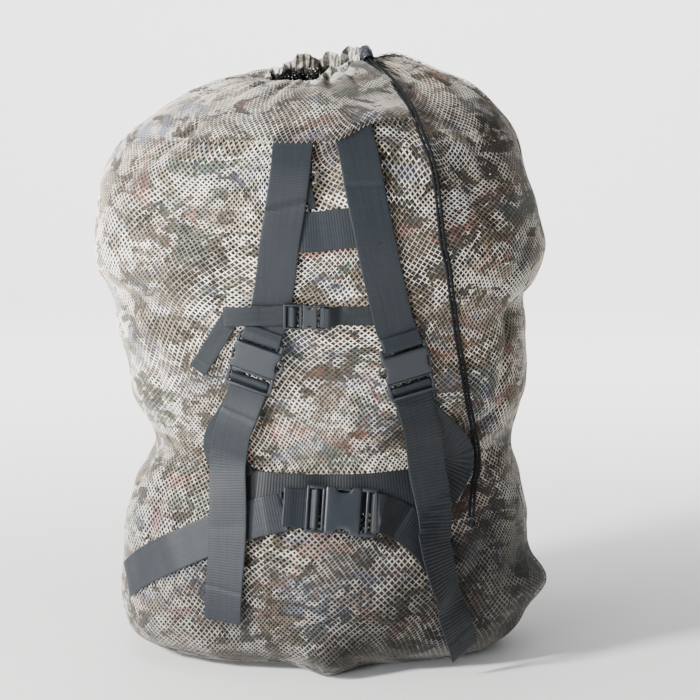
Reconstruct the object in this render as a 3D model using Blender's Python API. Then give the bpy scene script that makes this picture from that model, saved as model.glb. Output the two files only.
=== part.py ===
"""A mesh decoy bag with its carrying harness fastened, standing filled out on its flattened base.

Metres, +Z up, origin on the floor under the middle of the bag. The harness side faces -Y and the right-hand
side of the photographed face is +X. Sizes in the tables are millimetres and are turned into metres on building.
"""

import math

import bmesh
import bpy
import numpy as np
from mathutils import Vector
from mathutils.bvhtree import BVHTree

MM = 0.001

NET_WALL = 2.0
COLUMNS_ROUND = 50

WIDE_WEBBING = 50.0
NARROW_WEBBING = 25.0
TAB_WEBBING = 10.0
WEBBING_THICK = 1.5
CLEAR = 0.6
SEATED = 0.65
STATION = 16.0

CORD_RADIUS = 1.9
CASING_RADIUS = 3.2
CASING_SIDES = 5
HEM_GAP = 1.1

# The bag's outline, one row for each height. The four reaches are measured from the vertical through the
# origin, and a squareness of 2 is an ellipse. Above the last row but one the rows close to the drawn mouth.
BAG_SECTIONS = (
    # height, left, right, front, back, squareness
    (0, 198, 200, 100, 150, 2.3),
    (7, 230, 230, 131, 172, 2.3),
    (24, 259, 255, 158, 187, 2.4),
    (52, 271, 271, 177, 195, 2.4),
    (90, 273, 276, 186, 200, 2.4),
    (130, 271, 276, 187, 202, 2.4),
    (180, 265, 274, 180, 200, 2.4),
    (225, 252, 267, 170, 194, 2.4),
    (262, 234, 254, 162, 188, 2.4),
    (285, 228, 251, 159, 185, 2.4),
    (312, 236, 257, 162, 187, 2.4),
    (347, 253, 266, 170, 193, 2.4),
    (390, 261, 271, 181, 201, 2.4),
    (430, 271, 267, 191, 208, 2.4),
    (468, 277, 268, 198, 213, 2.4),
    (505, 295, 285, 204, 216, 2.4),
    (545, 301, 293, 208, 218, 2.4),
    (585, 298, 285, 207, 216, 2.4),
    (622, 293, 274, 201, 210, 2.4),
    (656, 282, 265, 191, 200, 2.4),
    (690, 255, 254, 175, 184, 2.3),
    (718, 222, 236, 151, 160, 2.2),
    (741, 184, 214, 121, 128, 2.1),
    (760, 140, 180, 88, 92, 2.0),
    (773, 108, 137, 60, 62, 2.0),
    (780, 86, 92, 37, 40, 2.0),
    (782, 76, 59, 24, 26, 2.0),
    (790, 75, 57, 23, 25, 2.0),
)
MOUTH_LEVEL = len(BAG_SECTIONS) - 1.0

# Ridges (+) and creases (-) of the net. The angle runs round the bag from the right side: 90 is the back,
# 180 the left side and 270 the harness side. Tilt is the line's slope, and run its half length.
FOLDS = (
    # angle deg, height, tilt deg, run, width, depth
    (207, 486, -6, 105, 17, -9),  # crease under the upper left bulge
    (345, 474, 12, 75, 16, -8),  # crease under the upper right bulge
    (271, 345, 0, 80, 58, 11),  # round bulge above the waist band
    (268, 118, 0, 110, 60, 6),  # bulge below the belt
    (316, 688, -48, 45, 15, -5),  # slanting creases at the upper right
    (311, 617, -60, 70, 15, -5),
    (309, 122, 42, 55, 15, -6),  # crease that runs to the lower right corner
    (200, 284, 0, 70, 16, -6),  # gathers at the waist
    (338, 284, 0, 70, 16, -6),
    (228, 598, 35, 80, 18, -5),  # hollow beside the left shoulder strap
    (95, 520, 10, 130, 24, -9),  # the wearer's far side
    (80, 292, -4, 170, 26, -8),
    (112, 132, -14, 115, 20, -7),
    (58, 400, 34, 95, 18, -7),
    (130, 420, -38, 90, 18, -6),
    (165, 380, 60, 85, 16, -6),
)
ARC_RADIUS = 250.0

LIP_LEVEL = 20.05
LIP_DEPTH = 6.0
LIP_TUCK = 5.0

PLEATS = 12
PLEAT_DEPTH = 4.0
MOUTH_DIP = 33.0

MATERIALS = {
    "camouflage_net": ((0.30, 0.26, 0.19), 0.85, 0.0),
    "black_webbing": ((0.045, 0.052, 0.062), 0.7, 0.0),
    "buckle_plastic": ((0.05, 0.058, 0.068), 0.35, 0.0),
    "black_cord": ((0.03, 0.032, 0.036), 0.7, 0.0),
    "nickel": ((0.55, 0.55, 0.55), 0.25, 1.0),
}


def through(table, at):
    """Values of a table's columns at row positions AT, on a cubic curve through its rows."""
    rows = np.asarray(table, float)
    at = np.clip(np.asarray(at, float), 0, len(rows) - 1)
    low = np.minimum(at.astype(int), len(rows) - 2)
    part = (at - low)[..., None]
    slope = np.gradient(rows, axis=0)
    return (
        (2 * part**3 - 3 * part**2 + 1) * rows[low]
        + (part**3 - 2 * part**2 + part) * slope[low]
        + (3 * part**2 - 2 * part**3) * rows[low + 1]
        + (part**3 - part**2) * slope[low + 1]
    )


def ease(value):
    """0 below 0, 1 above 1 and an S-curve between."""
    value = np.clip(value, 0, 1)
    return value * value * (3 - 2 * value)


def plain_bag(angle, level):
    """The bag's outline without folds: a superellipse with four reaches at each level."""
    angle, level = np.broadcast_arrays(np.asarray(angle, float), np.asarray(level, float))
    height, left, right, front, back, square = np.moveaxis(through(BAG_SECTIONS, level), -1, 0)
    across = np.where(np.cos(angle) > 0, right, left)
    deep = np.where(np.sin(angle) > 0, back, front)
    x = across * np.sign(np.cos(angle)) * np.abs(np.cos(angle)) ** (2 / square)
    y = deep * np.sign(np.sin(angle)) * np.abs(np.sin(angle)) ** (2 / square)
    return np.stack([x, y, height], -1)


def front_weight(angle):
    """1 at the middle of the harness side, falling to 0 beyond the ends of the folded-over lip."""
    turn = np.degrees(np.mod(angle, 2 * math.pi))
    return ease((turn - 222) / 18) * ease((303 - turn) / 10)


def lip_rise(angle, level):
    """How far the lip's line climbs, in levels: it is 20 mm higher over the right shoulder strap."""
    turn = np.degrees(np.mod(angle, 2 * math.pi))
    return 0.75 * ease((turn - 270) / 14) * np.exp(-(((level - LIP_LEVEL) / 1.3) ** 2)) * front_weight(angle)


def relief(angle, level, point):
    """How far folds, bulges and pleats move the net outwards."""
    height = point[..., 2]
    out = np.zeros(height.shape)
    for fold_angle, fold_height, tilt, run, width, depth in FOLDS:
        turn = np.mod(angle - math.radians(fold_angle) + math.pi, 2 * math.pi) - math.pi
        slope = math.radians(tilt)
        along = turn * ARC_RADIUS * math.cos(slope) + (height - fold_height) * math.sin(slope)
        across = (height - fold_height) * math.cos(slope) - turn * ARC_RADIUS * math.sin(slope)
        out = out + depth * np.exp(-((across / width) ** 2)) * np.exp(-((along / run) ** 4))
    gathered = ease((level - 23.5) / (MOUTH_LEVEL - 24.0))
    pleats = np.cos(PLEATS * angle + 0.7 * np.sin(2 * angle) + 0.4)
    return out + PLEAT_DEPTH * gathered * pleats


def bag_point(angle, level, above_lip=None):
    """Outer face of the net. ABOVE_LIP is 1 on the folded-over upper net and 0 under it."""
    angle, level = np.broadcast_arrays(np.asarray(angle, float), np.asarray(level, float))
    if above_lip is None:
        above_lip = (level > LIP_LEVEL).astype(float)
    raised = level + lip_rise(angle, level)
    step = 0.02
    point = plain_bag(angle, raised)
    round_way = plain_bag(angle + step, raised) - plain_bag(angle - step, raised)
    up_way = plain_bag(angle, raised + step) - plain_bag(angle, raised - step)
    normal = np.cross(round_way, up_way)
    normal /= np.linalg.norm(normal, axis=-1, keepdims=True)
    weight = front_weight(angle)
    lip = LIP_DEPTH * weight * above_lip * np.exp(-np.maximum(level - LIP_LEVEL, 0) / 1.6)
    point = point + normal * (relief(angle, level, point) + lip)[..., None]
    tuck = LIP_TUCK * weight * (1 - above_lip) * ease((level - LIP_LEVEL + 0.5) / 0.5)
    near_mouth = ease((level - 22.0) / (MOUTH_LEVEL - 22.0))
    low_left = ease((0.6 - np.sin(angle)) / 0.9) * (1 - ease((point[..., 0] + 10) / 45))
    right_puff = 11 * np.exp(-(((point[..., 0] - 96) / 36) ** 2) - ((point[..., 1] - 8) / 36) ** 2) * ease(level - 22)
    point[..., 2] += tuck - MOUTH_DIP * near_mouth * low_left + right_puff
    corner = 26.6 * np.exp(-(((point[..., 2] - 92) / 27) ** 2)) * np.maximum(np.cos(angle + 0.12), 0) ** 24
    point[..., 0] += corner
    lobe = 50 * np.exp(-(((point[..., 0] - 8) / 36) ** 2)) * ease(1 - point[..., 2] / 80)
    point[..., 1] -= np.where(np.sin(angle) < 0, lobe, 0)
    return point


FINE_LEVELS = np.linspace(0, MOUTH_LEVEL, 600)
FINE_HEIGHTS = through(BAG_SECTIONS, FINE_LEVELS)[:, 0]


def on_bag(angle, height):
    """Outer face of the net at an angle and a height below the lip, with its outward normal."""
    level = np.interp(height, FINE_HEIGHTS, FINE_LEVELS)
    point = bag_point(angle, level, 0.0)
    reach, rise = 0.08, 0.5
    round_way = bag_point(angle + reach, level, 0.0) - bag_point(angle - reach, level, 0.0)
    up_way = bag_point(angle, level + rise, 0.0) - bag_point(angle, level - rise, 0.0)
    normal = np.cross(round_way, up_way)
    return point, normal / np.linalg.norm(normal, axis=-1, keepdims=True)


def front_angle(x, height):
    """The angle at which the harness side of the bag has the given x."""
    level = np.interp(height, FINE_HEIGHTS, FINE_LEVELS)
    _, left, right, _, _, square = np.moveaxis(through(BAG_SECTIONS, level), -1, 0)
    share = np.clip(np.abs(x) / np.where(x > 0, right, left), 0, 1) ** (square / 2)
    return 2 * math.pi - np.arccos(np.sign(x) * share)


def unit(vectors):
    vectors = np.asarray(vectors, float)
    return vectors / np.linalg.norm(vectors, axis=-1, keepdims=True)


def new_object(name, points, faces, material):
    """One named mesh object from points in millimetres."""
    mesh = bpy.data.meshes.new(name)
    mesh.from_pydata([tuple(p) for p in np.asarray(points) * MM], [], [tuple(f) for f in faces])
    mesh.validate()
    made = bpy.data.objects.new(name, mesh)
    bpy.context.scene.collection.objects.link(made)
    made.data.materials.append(MATERIAL[material])
    return made


def grid_faces(rows, columns, start, flip):
    """Quads of a grid that closes round its columns."""
    row, column = np.meshgrid(np.arange(rows - 1), np.arange(columns), indexing="ij")
    beside = (column + 1) % columns
    quads = np.stack(
        [row * columns + column, row * columns + beside, (row + 1) * columns + beside, (row + 1) * columns + column],
        -1,
    ).reshape(-1, 4)
    quads = quads + start
    return quads[:, ::-1] if flip else quads


def make_net_bag():
    """One hollow shell: outer face, inner face a wall inside it, joined round the mouth."""
    rows_used = [level for level in np.arange(0, MOUTH_LEVEL + 1) if level not in (5, 13, 20)]
    levels = np.sort(rows_used + [LIP_LEVEL - 0.3, LIP_LEVEL - 0.05, LIP_LEVEL + 0.2])
    above = (levels > LIP_LEVEL).astype(float)
    angles = np.linspace(0, 2 * math.pi, COLUMNS_ROUND, endpoint=False)
    outer = bag_point(angles[None, :], levels[:, None], above[:, None])
    round_way = np.roll(outer, -1, 1) - np.roll(outer, 1, 1)
    up_way = np.gradient(outer, axis=0)
    inner = outer - unit(np.cross(round_way, up_way)) * NET_WALL
    outer[0, :, 2] = 0.0
    inner[0, :, 2] = NET_WALL
    inner[0, :, :2] = outer[0, :, :2] * 0.985
    rows = len(levels)
    count = rows * COLUMNS_ROUND
    points = np.concatenate([outer.reshape(-1, 3), inner.reshape(-1, 3), [[0, 20, 0], [0, 20, NET_WALL]]])
    faces = [list(f) for f in grid_faces(rows, COLUMNS_ROUND, 0, False)]
    faces += [list(f) for f in grid_faces(rows, COLUMNS_ROUND, count, True)]
    top = (rows - 1) * COLUMNS_ROUND
    for column in range(COLUMNS_ROUND):
        beside = (column + 1) % COLUMNS_ROUND
        faces.append([top + column, top + beside, count + top + beside, count + top + column])
        faces.append([beside, column, 2 * count])
        faces.append([count + column, count + beside, 2 * count + 1])
    return new_object("net_bag", points, faces, "camouflage_net"), outer, inner


class Seat:
    """Keeps what lies on the bag clear of its faceted outer side."""

    def __init__(self, bag):
        corners = [v.co / MM for v in bag.data.vertices]
        self.tree = BVHTree.FromPolygons(corners, [tuple(p.vertices) for p in bag.data.polygons])

    def distance(self, point):
        nearest, normal, _, _ = self.tree.find_nearest(Vector(point))
        away = Vector(point) - nearest
        return away.length if away.dot(normal) > 0 else -away.length

    def push(self, centres, across, normals, half_width, half_thick, clear):
        """Moves stations out along their normals until their inner face is clear of the bag."""
        moved = centres.copy()
        for _ in range(3):
            need = np.zeros(len(moved))
            for index, (centre, side, normal) in enumerate(zip(moved, across, normals)):
                for share in (-1, -0.5, 0, 0.5, 1):
                    inner = centre + side * half_width * share - normal * half_thick
                    need[index] = max(need[index], clear - self.distance(inner))
            spread = np.maximum(need, 0.6 * np.maximum(np.roll(need, 1), np.roll(need, -1)))
            spread[0], spread[-1] = need[0], need[-1]
            moved += normals * spread[:, None]
        return moved


def resampled(points, spacing):
    """Row positions that are about SPACING apart along the smooth curve through the points."""
    fine = np.linspace(0, len(points) - 1, 60 * len(points))
    curve = through(points, fine)[:, :3]
    walked = np.concatenate([[0], np.cumsum(np.linalg.norm(np.diff(curve, axis=0), axis=1))])
    count = max(2, int(round(walked[-1] / spacing)) + 1)
    return np.interp(np.linspace(0, walked[-1], count), walked, fine)


def laid(rows, spacing=STATION, hanging=False):
    """Centre points and outward normals of a route on the harness side: rows of x, height and lift."""
    rows = np.array(rows, float)
    points, normals = on_bag(front_angle(rows[:, 0], rows[:, 1]), rows[:, 1])
    at = resampled(points, spacing)
    x, height, lift = through(rows, at).T
    points, normals = on_bag(front_angle(x, height), height)
    if hanging:
        normals = unit(normals * (1, 1, 0))
    return points + normals * (lift + WEBBING_THICK / 2)[:, None], normals


def wrapped(rows, spacing=STATION):
    """The same as laid, for rows of angle in degrees, height and lift."""
    rows = np.array(rows, float)
    points, _ = on_bag(np.radians(rows[:, 0]), rows[:, 1])
    at = resampled(points, spacing)
    angle, height, lift = through(rows, at).T
    points, normals = on_bag(np.radians(angle), height)
    return points + normals * (lift + WEBBING_THICK / 2)[:, None], normals


def across_of(centres, normals):
    """The direction across a strap: square to its run and to the outward normal."""
    return unit(np.cross(np.gradient(centres, axis=0), normals))


def webbing(name, centres, across, width, outward=None):
    """A strap: its rectangular section carried along the centre line."""
    centres = np.asarray(centres, float)
    across = unit(across)
    along = unit(np.gradient(centres, axis=0))
    face = unit(np.cross(across, along))
    if outward is not None:
        face = unit(outward)
    side = across * width / 2
    thick = face * WEBBING_THICK / 2
    ring = np.stack([centres - side - thick, centres + side - thick, centres + side + thick, centres - side + thick], 1)
    count = len(centres)
    faces = [list(f) for f in grid_faces(count, 4, 0, True)]
    faces += [[0, 1, 2, 3], [4 * count - 1, 4 * count - 2, 4 * count - 3, 4 * count - 4]]
    made = new_object(name, ring.reshape(-1, 3), faces, "black_webbing")
    turn_outwards(made)
    return made


def turn_outwards(made):
    """Points the faces of a closed mesh outwards."""
    work = bmesh.new()
    work.from_mesh(made.data)
    bmesh.ops.recalc_face_normals(work, faces=work.faces)
    if work.calc_volume(signed=True) < 0:
        bmesh.ops.reverse_faces(work, faces=work.faces)
    work.to_mesh(made.data)
    work.free()


class Place:
    """A buckle's own frame: u across, v along from its first end, w outwards, in millimetres."""

    def __init__(self, start, end, outward, lift):
        self.along = unit(np.subtract(end, start))
        self.across = unit(np.cross(self.along, outward))
        self.out = np.cross(self.across, self.along)
        self.start = np.asarray(start, float) + self.out * lift
        self.length = float(np.linalg.norm(np.subtract(end, start)))

    def point(self, u, v, w):
        u, v, w = np.broadcast_arrays(np.asarray(u, float), v, w)
        return self.start + u[..., None] * self.across + v[..., None] * self.along + w[..., None] * self.out

    def loop(self, v_bar, w_side, turn_to, radius, steps=6):
        """Half circle round a bar, from one side of it to the other by way of TURN_TO (+1 or -1 along v)."""
        sweep = np.linspace(0, math.pi, steps)
        return self.point(0, v_bar + turn_to * radius * np.sin(sweep), w_side * radius * np.cos(sweep))


def buckle_place(start, end, lift):
    """Frame of a buckle between two places on the harness side, each given as x and height."""
    first, normal_a = on_bag(front_angle(np.float64(start[0]), start[1]), start[1])
    last, normal_b = on_bag(front_angle(np.float64(end[0]), end[1]), end[1])
    return Place(first, last, unit(normal_a + normal_b), lift)


def lattice_solid(name, place, u_lines, v_lines, w_lines, filled, material):
    """A moulded piece: the outer faces of the filled cells between three sets of cutting lines."""
    cells = np.zeros((len(u_lines) + 1, len(v_lines) + 1, len(w_lines) + 1), bool)
    for i in range(len(u_lines) - 1):
        for j in range(len(v_lines) - 1):
            for k in range(len(w_lines) - 1):
                middle = [
                    (lines[n] + lines[n + 1]) / 2 for lines, n in ((u_lines, i), (v_lines, j), (w_lines, k))
                ]
                cells[i + 1, j + 1, k + 1] = filled(*middle)
    index, points, faces = {}, [], []

    def corner(i, j, k):
        if (i, j, k) not in index:
            index[i, j, k] = len(points)
            points.append(place.point(u_lines[i], v_lines[j], w_lines[k]))
        return index[i, j, k]

    rings = {
        0: ((0, 0, 0), (0, 1, 0), (0, 1, 1), (0, 0, 1)),
        1: ((0, 0, 0), (0, 0, 1), (1, 0, 1), (1, 0, 0)),
        2: ((0, 0, 0), (1, 0, 0), (1, 1, 0), (0, 1, 0)),
    }
    for i, j, k in np.argwhere(cells):
        for axis, ring in rings.items():
            for side in (0, 1):
                beside = [i, j, k]
                beside[axis] += 1 if side else -1
                if cells[tuple(beside)]:
                    continue
                shift = [0, 0, 0]
                shift[axis] = side
                face = [corner(i - 1 + a + shift[0], j - 1 + b + shift[1], k - 1 + c + shift[2]) for a, b, c in ring]
                faces.append(face if side else face[::-1])
    made = new_object(name, points, faces, material)
    turn_outwards(made)
    return made


SLOT = 6.0
BAR = 4.0
BAR_HALF = 2.3
LOOP_RADIUS = math.hypot(BAR / 2, BAR_HALF) + CLEAR + WEBBING_THICK / 2


def side_release(name, place, strap, socket_length, socket_slots):
    """Two moulded halves of a fastened side-release buckle: the socket, and the plug with its ladder."""
    scale = 1.0 if strap > 30 else 0.62
    outer = strap / 2 + 5.5 * scale
    slot = strap / 2 + 0.9
    neck = outer - 8.5 * scale
    body = 5.2 * scale
    arm_length = 19.0 * scale
    ends = [0.0]
    for _ in range(socket_slots):
        ends += [ends[-1] + BAR, ends[-1] + BAR + SLOT]

    def in_socket(u, v, w):
        if v > socket_length - arm_length:
            return abs(u) < neck
        for start in range(socket_slots):
            bar_start = ends[2 * start]
            if bar_start < v < bar_start + BAR:
                return abs(w) < BAR_HALF or abs(u) > slot
            if bar_start + BAR < v < bar_start + BAR + SLOT:
                return abs(u) > slot
        return True

    lattice_solid(
        name + "_socket",
        place,
        [-outer, -slot, -neck, neck, slot, outer] if neck < slot else [-outer, -neck, -slot, slot, neck, outer],
        ends + [socket_length - arm_length, socket_length],
        [-body, -BAR_HALF, BAR_HALF, body],
        in_socket,
        "buckle_plastic",
    )
    joint = socket_length + 0.4
    bars = (
        (joint, joint + BAR),
        (joint + BAR + SLOT, joint + BAR + SLOT + BAR),
        (joint + 2 * (BAR + SLOT), joint + 2 * (BAR + SLOT) + BAR),
    )
    arm_inner = neck + 0.4

    def in_plug(u, v, _):
        if v < joint:
            return abs(u) > arm_inner
        return any(low < v < high for low, high in bars) or abs(u) > slot

    inner_lines = sorted({arm_inner, slot})
    lattice_solid(
        name + "_plug",
        place,
        [-outer] + [-value for value in reversed(inner_lines)] + inner_lines + [outer],
        [socket_length - arm_length + 0.4] + [value for bar in bars for value in bar],
        [-BAR_HALF, BAR_HALF],
        in_plug,
        "buckle_plastic",
    )
    return bars


def make_materials():
    made = {}
    for name, (colour, roughness, metallic) in MATERIALS.items():
        material = bpy.data.materials.new(name)
        material.use_nodes = True
        shader = material.node_tree.nodes["Principled BSDF"]
        shader.inputs["Base Color"].default_value = (*colour, 1)
        shader.inputs["Roughness"].default_value = roughness
        shader.inputs["Metallic"].default_value = metallic
        made[name] = material
    return made


def joined_run(*parts):
    """One list of points from several stretches."""
    return np.concatenate([np.atleast_2d(part) for part in parts])


SHOULDER_LEFT = (
    # x, height, lift off the net
    (-34, 692, 2.6),
    (-36, 675, 7.0),
    (-37, 661, 10.0),
    (-39, 643, 10.8),
    (-42, 622, 9.4),
    (-46, 598, 5.8),
    (-52, 562, 4.0),
    (-57, 520, 0.9),
    (-62, 488, 0.9),
    (-66, 470, 2.8),
)
SHOULDER_RIGHT = (
    (41, 684, -0.8),
    (46, 670, 0.8),
    (54, 630, 4.0),
    (63, 588, 4.6),
    (71, 550, 4.0),
    (81, 505, 3.4),
    (89, 470, 3.4),
    (92, 459, 3.6),
)
CROSSBAND = ((-48, 580, -0.8), (-10, 581, -0.8), (35, 586, -0.8), (70, 590, -0.8))
WAIST_BAND = ((-108, 246, -0.8), (-60, 243, -0.8), (0, 241, -0.8), (60, 242, -0.8), (128, 247, -0.8))

LEFT_BUCKLE = ((-73, 448), (-94, 374))
RIGHT_BUCKLE = ((98, 440), (114, 366))
WAIST_BUCKLE = ((69, 216), (-28, 223))
CHEST_BUCKLE = ((5, 477), (-49, 478))

# From the buckle's ladder the fixed run goes down behind the tail to its sewn end on the waist band.
LEFT_FIXED_RUN = (
    (-98, 358, 4.0),
    (-110, 338, 6.5),
    (-124, 314, 7.5),
    (-126, 292, 6.5),
    (-117, 272, 4.0),
    (-108, 254, 3.2),
)
LEFT_TAIL = (
    (-97, 361, 15),
    (-103, 340, 17),
    (-109, 318, 18),
    (-116, 280, 15),
    (-117, 235, 13),
    (-118, 180, 10),
    (-122, 125, 7),
    (-125, 78, 8),
)
RIGHT_FIXED_RUN = (
    (117, 352, 4.0),
    (132, 334, 7.0),
    (154, 310, 9.0),
    (168, 286, 9.0),
    (163, 260, 6.5),
    (148, 238, 4.0),
)
RIGHT_TAIL = (
    (116, 353, 15),
    (122, 318, 18),
    (130, 268, 17),
    (139, 224, 16),
    (143, 176, 13),
    (152, 132, 10),
    (165, 82, 10),
    (172, 50, 16),
    (173, 31, 26),
)
BELT_LEFT = (
    # angle deg, height, lift off the net
    (201.0, 106, -0.8),
    (208.0, 121, -0.8),
    (216.0, 137, -0.8),
    (230.0, 163, -0.8),
    (241.0, 184, 3.0),
    (253.0, 207, 4.5),
    (258.5, 214, 6.0),
)
BELT_RIGHT = (
    # x, height, lift off the net
    (150, 150, -0.8),
    (138, 172, 3.0),
    (117, 193, 4.5),
    (98, 206, 5.5),
)
CHEST_FIXED_RUN = ((-84, 477, 4.6), (-74, 477, 4.8), (-64, 477, 5.0))
CHEST_TAIL = (
    # x, height, lift off the net
    (-68, 477, 9.2),
    (-84, 477, 9.2),
    (-102, 476, 9.8),
    (-118, 472, 8.5),
    (-130, 461, 5.5),
    (-139, 445, 3.5),
    (-148, 426, 3.0),
    (-157, 405, 2.5),
)
CHEST_RIGHT = ((78, 476, -0.8), (62, 476, -0.8), (42, 476, 1.2), (22, 477, 3.6))

# The hanging tab comes out from under the lip, and its ring is held to the crossband by a short tab.
HANG_TAB = ((-17, 687, 0.9), (-17, 679, 1.6), (-17, 671, 3.6))
RING_TAB = ((-11, 608.8, 0.9), (-12, 614, 1.6), (-13, 621, 3.6))
RING_CENTRE = (-16, 646, 5.6)
RING_HALF_WIDTH = 9.0
RING_HALF_HEIGHT = 7.0
RING_CORNER = 2.5
RING_WIRE = 1.4
TAB_LOOP = RING_WIRE + CLEAR + WEBBING_THICK / 2

# The drawcord's free strands, from the lock over the right of the mouth and down the net.
CORD_ROUTE = (
    # x, y, height
    (56, -22, 797.5),
    (57, -27, 794),
    (61, -40, 785),
    (74, -58, 776),
    (88, -81, 763),
    (100, -107, 748),
    (112, -137, 731),
    (124, -161, 701),
    (135, -171, 674),
    (141, -177, 650),
    (145, -186, 620),
    (148, -191, 591),
    (151, -192, 564),
    (158, -189, 535),
    (162, -184, 505),
    (166, -176, 478),
    (172, -165, 439),
    (180, -154, 397),
    (185, -145, 365),
    (194, -129, 323),
    (200, -117, 290),
    (201, -117, 267),
    (196, -128, 246),
    (193, -140, 221),
    (192, -146, 205),
)
STRAND_APART = 4.6


def cord(name, route, radius):
    """A round cord as a curve object through a smooth line of points, with filled ends."""
    at = resampled(route, 11.0)
    points = through(route, at)
    curve = bpy.data.curves.new(name, "CURVE")
    curve.dimensions = "3D"
    curve.bevel_depth = radius * MM
    curve.bevel_resolution = 2
    curve.use_fill_caps = True
    spline = curve.splines.new("POLY")
    spline.points.add(len(points) - 1)
    for slot, point in zip(spline.points, points):
        slot.co = (*(point * MM), 1)
    made = bpy.data.objects.new(name, curve)
    bpy.context.scene.collection.objects.link(made)
    made.data.materials.append(MATERIAL["black_cord"])
    return made


def turned(name, centre, axis, profile, sides, material, hollow=False):
    """A solid turned about an axis: profile rows of distance along it and radius, closed on itself if hollow."""
    axis = unit(axis)
    helper = unit(np.cross(axis, [0.3, 1.0, 0.2]))
    other = np.cross(axis, helper)
    sweep = np.linspace(0, 2 * math.pi, sides, endpoint=False)
    ring = np.cos(sweep)[:, None] * helper + np.sin(sweep)[:, None] * other
    points = np.concatenate([centre + axis * along + ring * radius for along, radius in profile])
    faces = [list(f) for f in grid_faces(len(profile), sides, 0, False)]
    last = len(points) - sides
    if hollow:
        faces += [[last + n, last + (n + 1) % sides, (n + 1) % sides, n] for n in range(sides)]
    else:
        faces += [list(range(sides))[::-1], [last + n for n in range(sides)]]
    made = new_object(name, points, faces, material)
    turn_outwards(made)
    return made


def tube_loop(name, centres, radius, sides, material, facing=(0, 0, 1)):
    """A closed ring of round section along a closed line of centres that lies roughly square to FACING."""
    ahead = unit(np.roll(centres, -1, 0) - np.roll(centres, 1, 0))
    side = unit(np.cross(ahead, facing))
    over = np.cross(side, ahead)
    sweep = np.linspace(0, 2 * math.pi, sides, endpoint=False)
    points = centres[:, None] + radius * (
        np.cos(sweep)[None, :, None] * side[:, None] + np.sin(sweep)[None, :, None] * over[:, None]
    )
    count = len(centres)
    faces = []
    for n in range(count):
        for m in range(sides):
            after, beside = (n + 1) % count, (m + 1) % sides
            faces.append([n * sides + m, after * sides + m, after * sides + beside, n * sides + beside])
    made = new_object(name, points.reshape(-1, 3), faces, material)
    turn_outwards(made)
    return made


def make_shoulder_strap(name, rows, place, top_slope):
    """From under the lip down behind the socket's bar, round it and back up to a short end in front."""
    centres, normals = laid(rows)
    across = across_of(centres, normals)
    across[0] = unit(across[0] + np.array([0, 0, top_slope]) * np.sign(across[0, 0]))
    centres = SEAT.push(centres, across, normals, WIDE_WEBBING / 2, WEBBING_THICK / 2, SEATED)
    bar = BAR / 2
    behind = place.point(0, [-10.0, -4.0], [-LOOP_RADIUS, -LOOP_RADIUS])
    turn = place.loop(bar, -1, 1, LOOP_RADIUS, 5)
    front = place.point(0, [-3.0, -8.0, -13.0], [LOOP_RADIUS - 0.6, 1.2, -LOOP_RADIUS + 2.6])
    run = joined_run(centres, behind, turn, front)
    sideways = joined_run(across, np.repeat([place.across], len(run) - len(across), 0))
    return webbing(name, run, sideways, WIDE_WEBBING)


def make_adjusting_strap(name, fixed, tail, place, bars):
    """From the sewn end up behind the buckle, over the ladder's middle bar and down in front as the tail."""
    up, up_normals = laid(fixed)
    up_across = across_of(up, up_normals)
    up = SEAT.push(up, up_across, up_normals, WIDE_WEBBING / 2, WEBBING_THICK / 2, SEATED)
    down, down_normals = laid(tail, hanging=True)
    down_across = across_of(down, down_normals)
    middle = sum(bars[1]) / 2
    end = bars[2][1]
    behind = place.point(0, [end + 6, end, end - BAR - 2], [-LOOP_RADIUS, -LOOP_RADIUS, -LOOP_RADIUS])
    turn = place.loop(middle, -1, -1, LOOP_RADIUS, 5)
    front = place.point(0, [end - BAR - 2, end, end + 6], [LOOP_RADIUS, LOOP_RADIUS, LOOP_RADIUS])
    run = joined_run(up[::-1], behind, turn, front, down)
    crossing = np.repeat([place.across], len(behind) + len(turn) + len(front), 0)
    sideways = joined_run(up_across[::-1], crossing, down_across)
    return webbing(name, run, sideways, WIDE_WEBBING)


def make_band(name, rows, width, layer_clear=SEATED):
    """A band that lies flat on the harness side."""
    centres, normals = laid(rows)
    across = across_of(centres, normals)
    centres = SEAT.push(centres, across, normals, width / 2, WEBBING_THICK / 2, layer_clear)
    return webbing(name, centres, across, width)


for leftover in list(bpy.data.objects):
    bpy.data.objects.remove(leftover, do_unlink=True)
MATERIAL = make_materials()

net_bag, outer_net, inner_net = make_net_bag()
SEAT = Seat(net_bag)

hem = (outer_net[-1] + inner_net[-1]) / 2
hem_ahead = unit(np.roll(hem, -1, 0) - np.roll(hem, 1, 0))
hem_rise = outer_net[-1] - outer_net[-2] + (0, 0, 2)
hem_rise = unit(hem_rise - hem_ahead * np.sum(hem_rise * hem_ahead, 1)[:, None])
tube_loop("mouth_casing", hem + hem_rise * (CASING_RADIUS + HEM_GAP), CASING_RADIUS, CASING_SIDES, "camouflage_net")

left_place = buckle_place(*LEFT_BUCKLE, 9.0)
right_place = buckle_place(*RIGHT_BUCKLE, 9.0)
waist_place = buckle_place(*WAIST_BUCKLE, 12.5)
chest_place = buckle_place(*CHEST_BUCKLE, 10.6)
left_bars = side_release("shoulder_buckle_left", left_place, WIDE_WEBBING, 46.0, 1)
right_bars = side_release("shoulder_buckle_right", right_place, WIDE_WEBBING, 46.0, 1)
waist_bars = side_release("waist_buckle", waist_place, WIDE_WEBBING, 66.0, 2)
chest_bars = side_release("chest_buckle", chest_place, NARROW_WEBBING, 28.0, 1)

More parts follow.
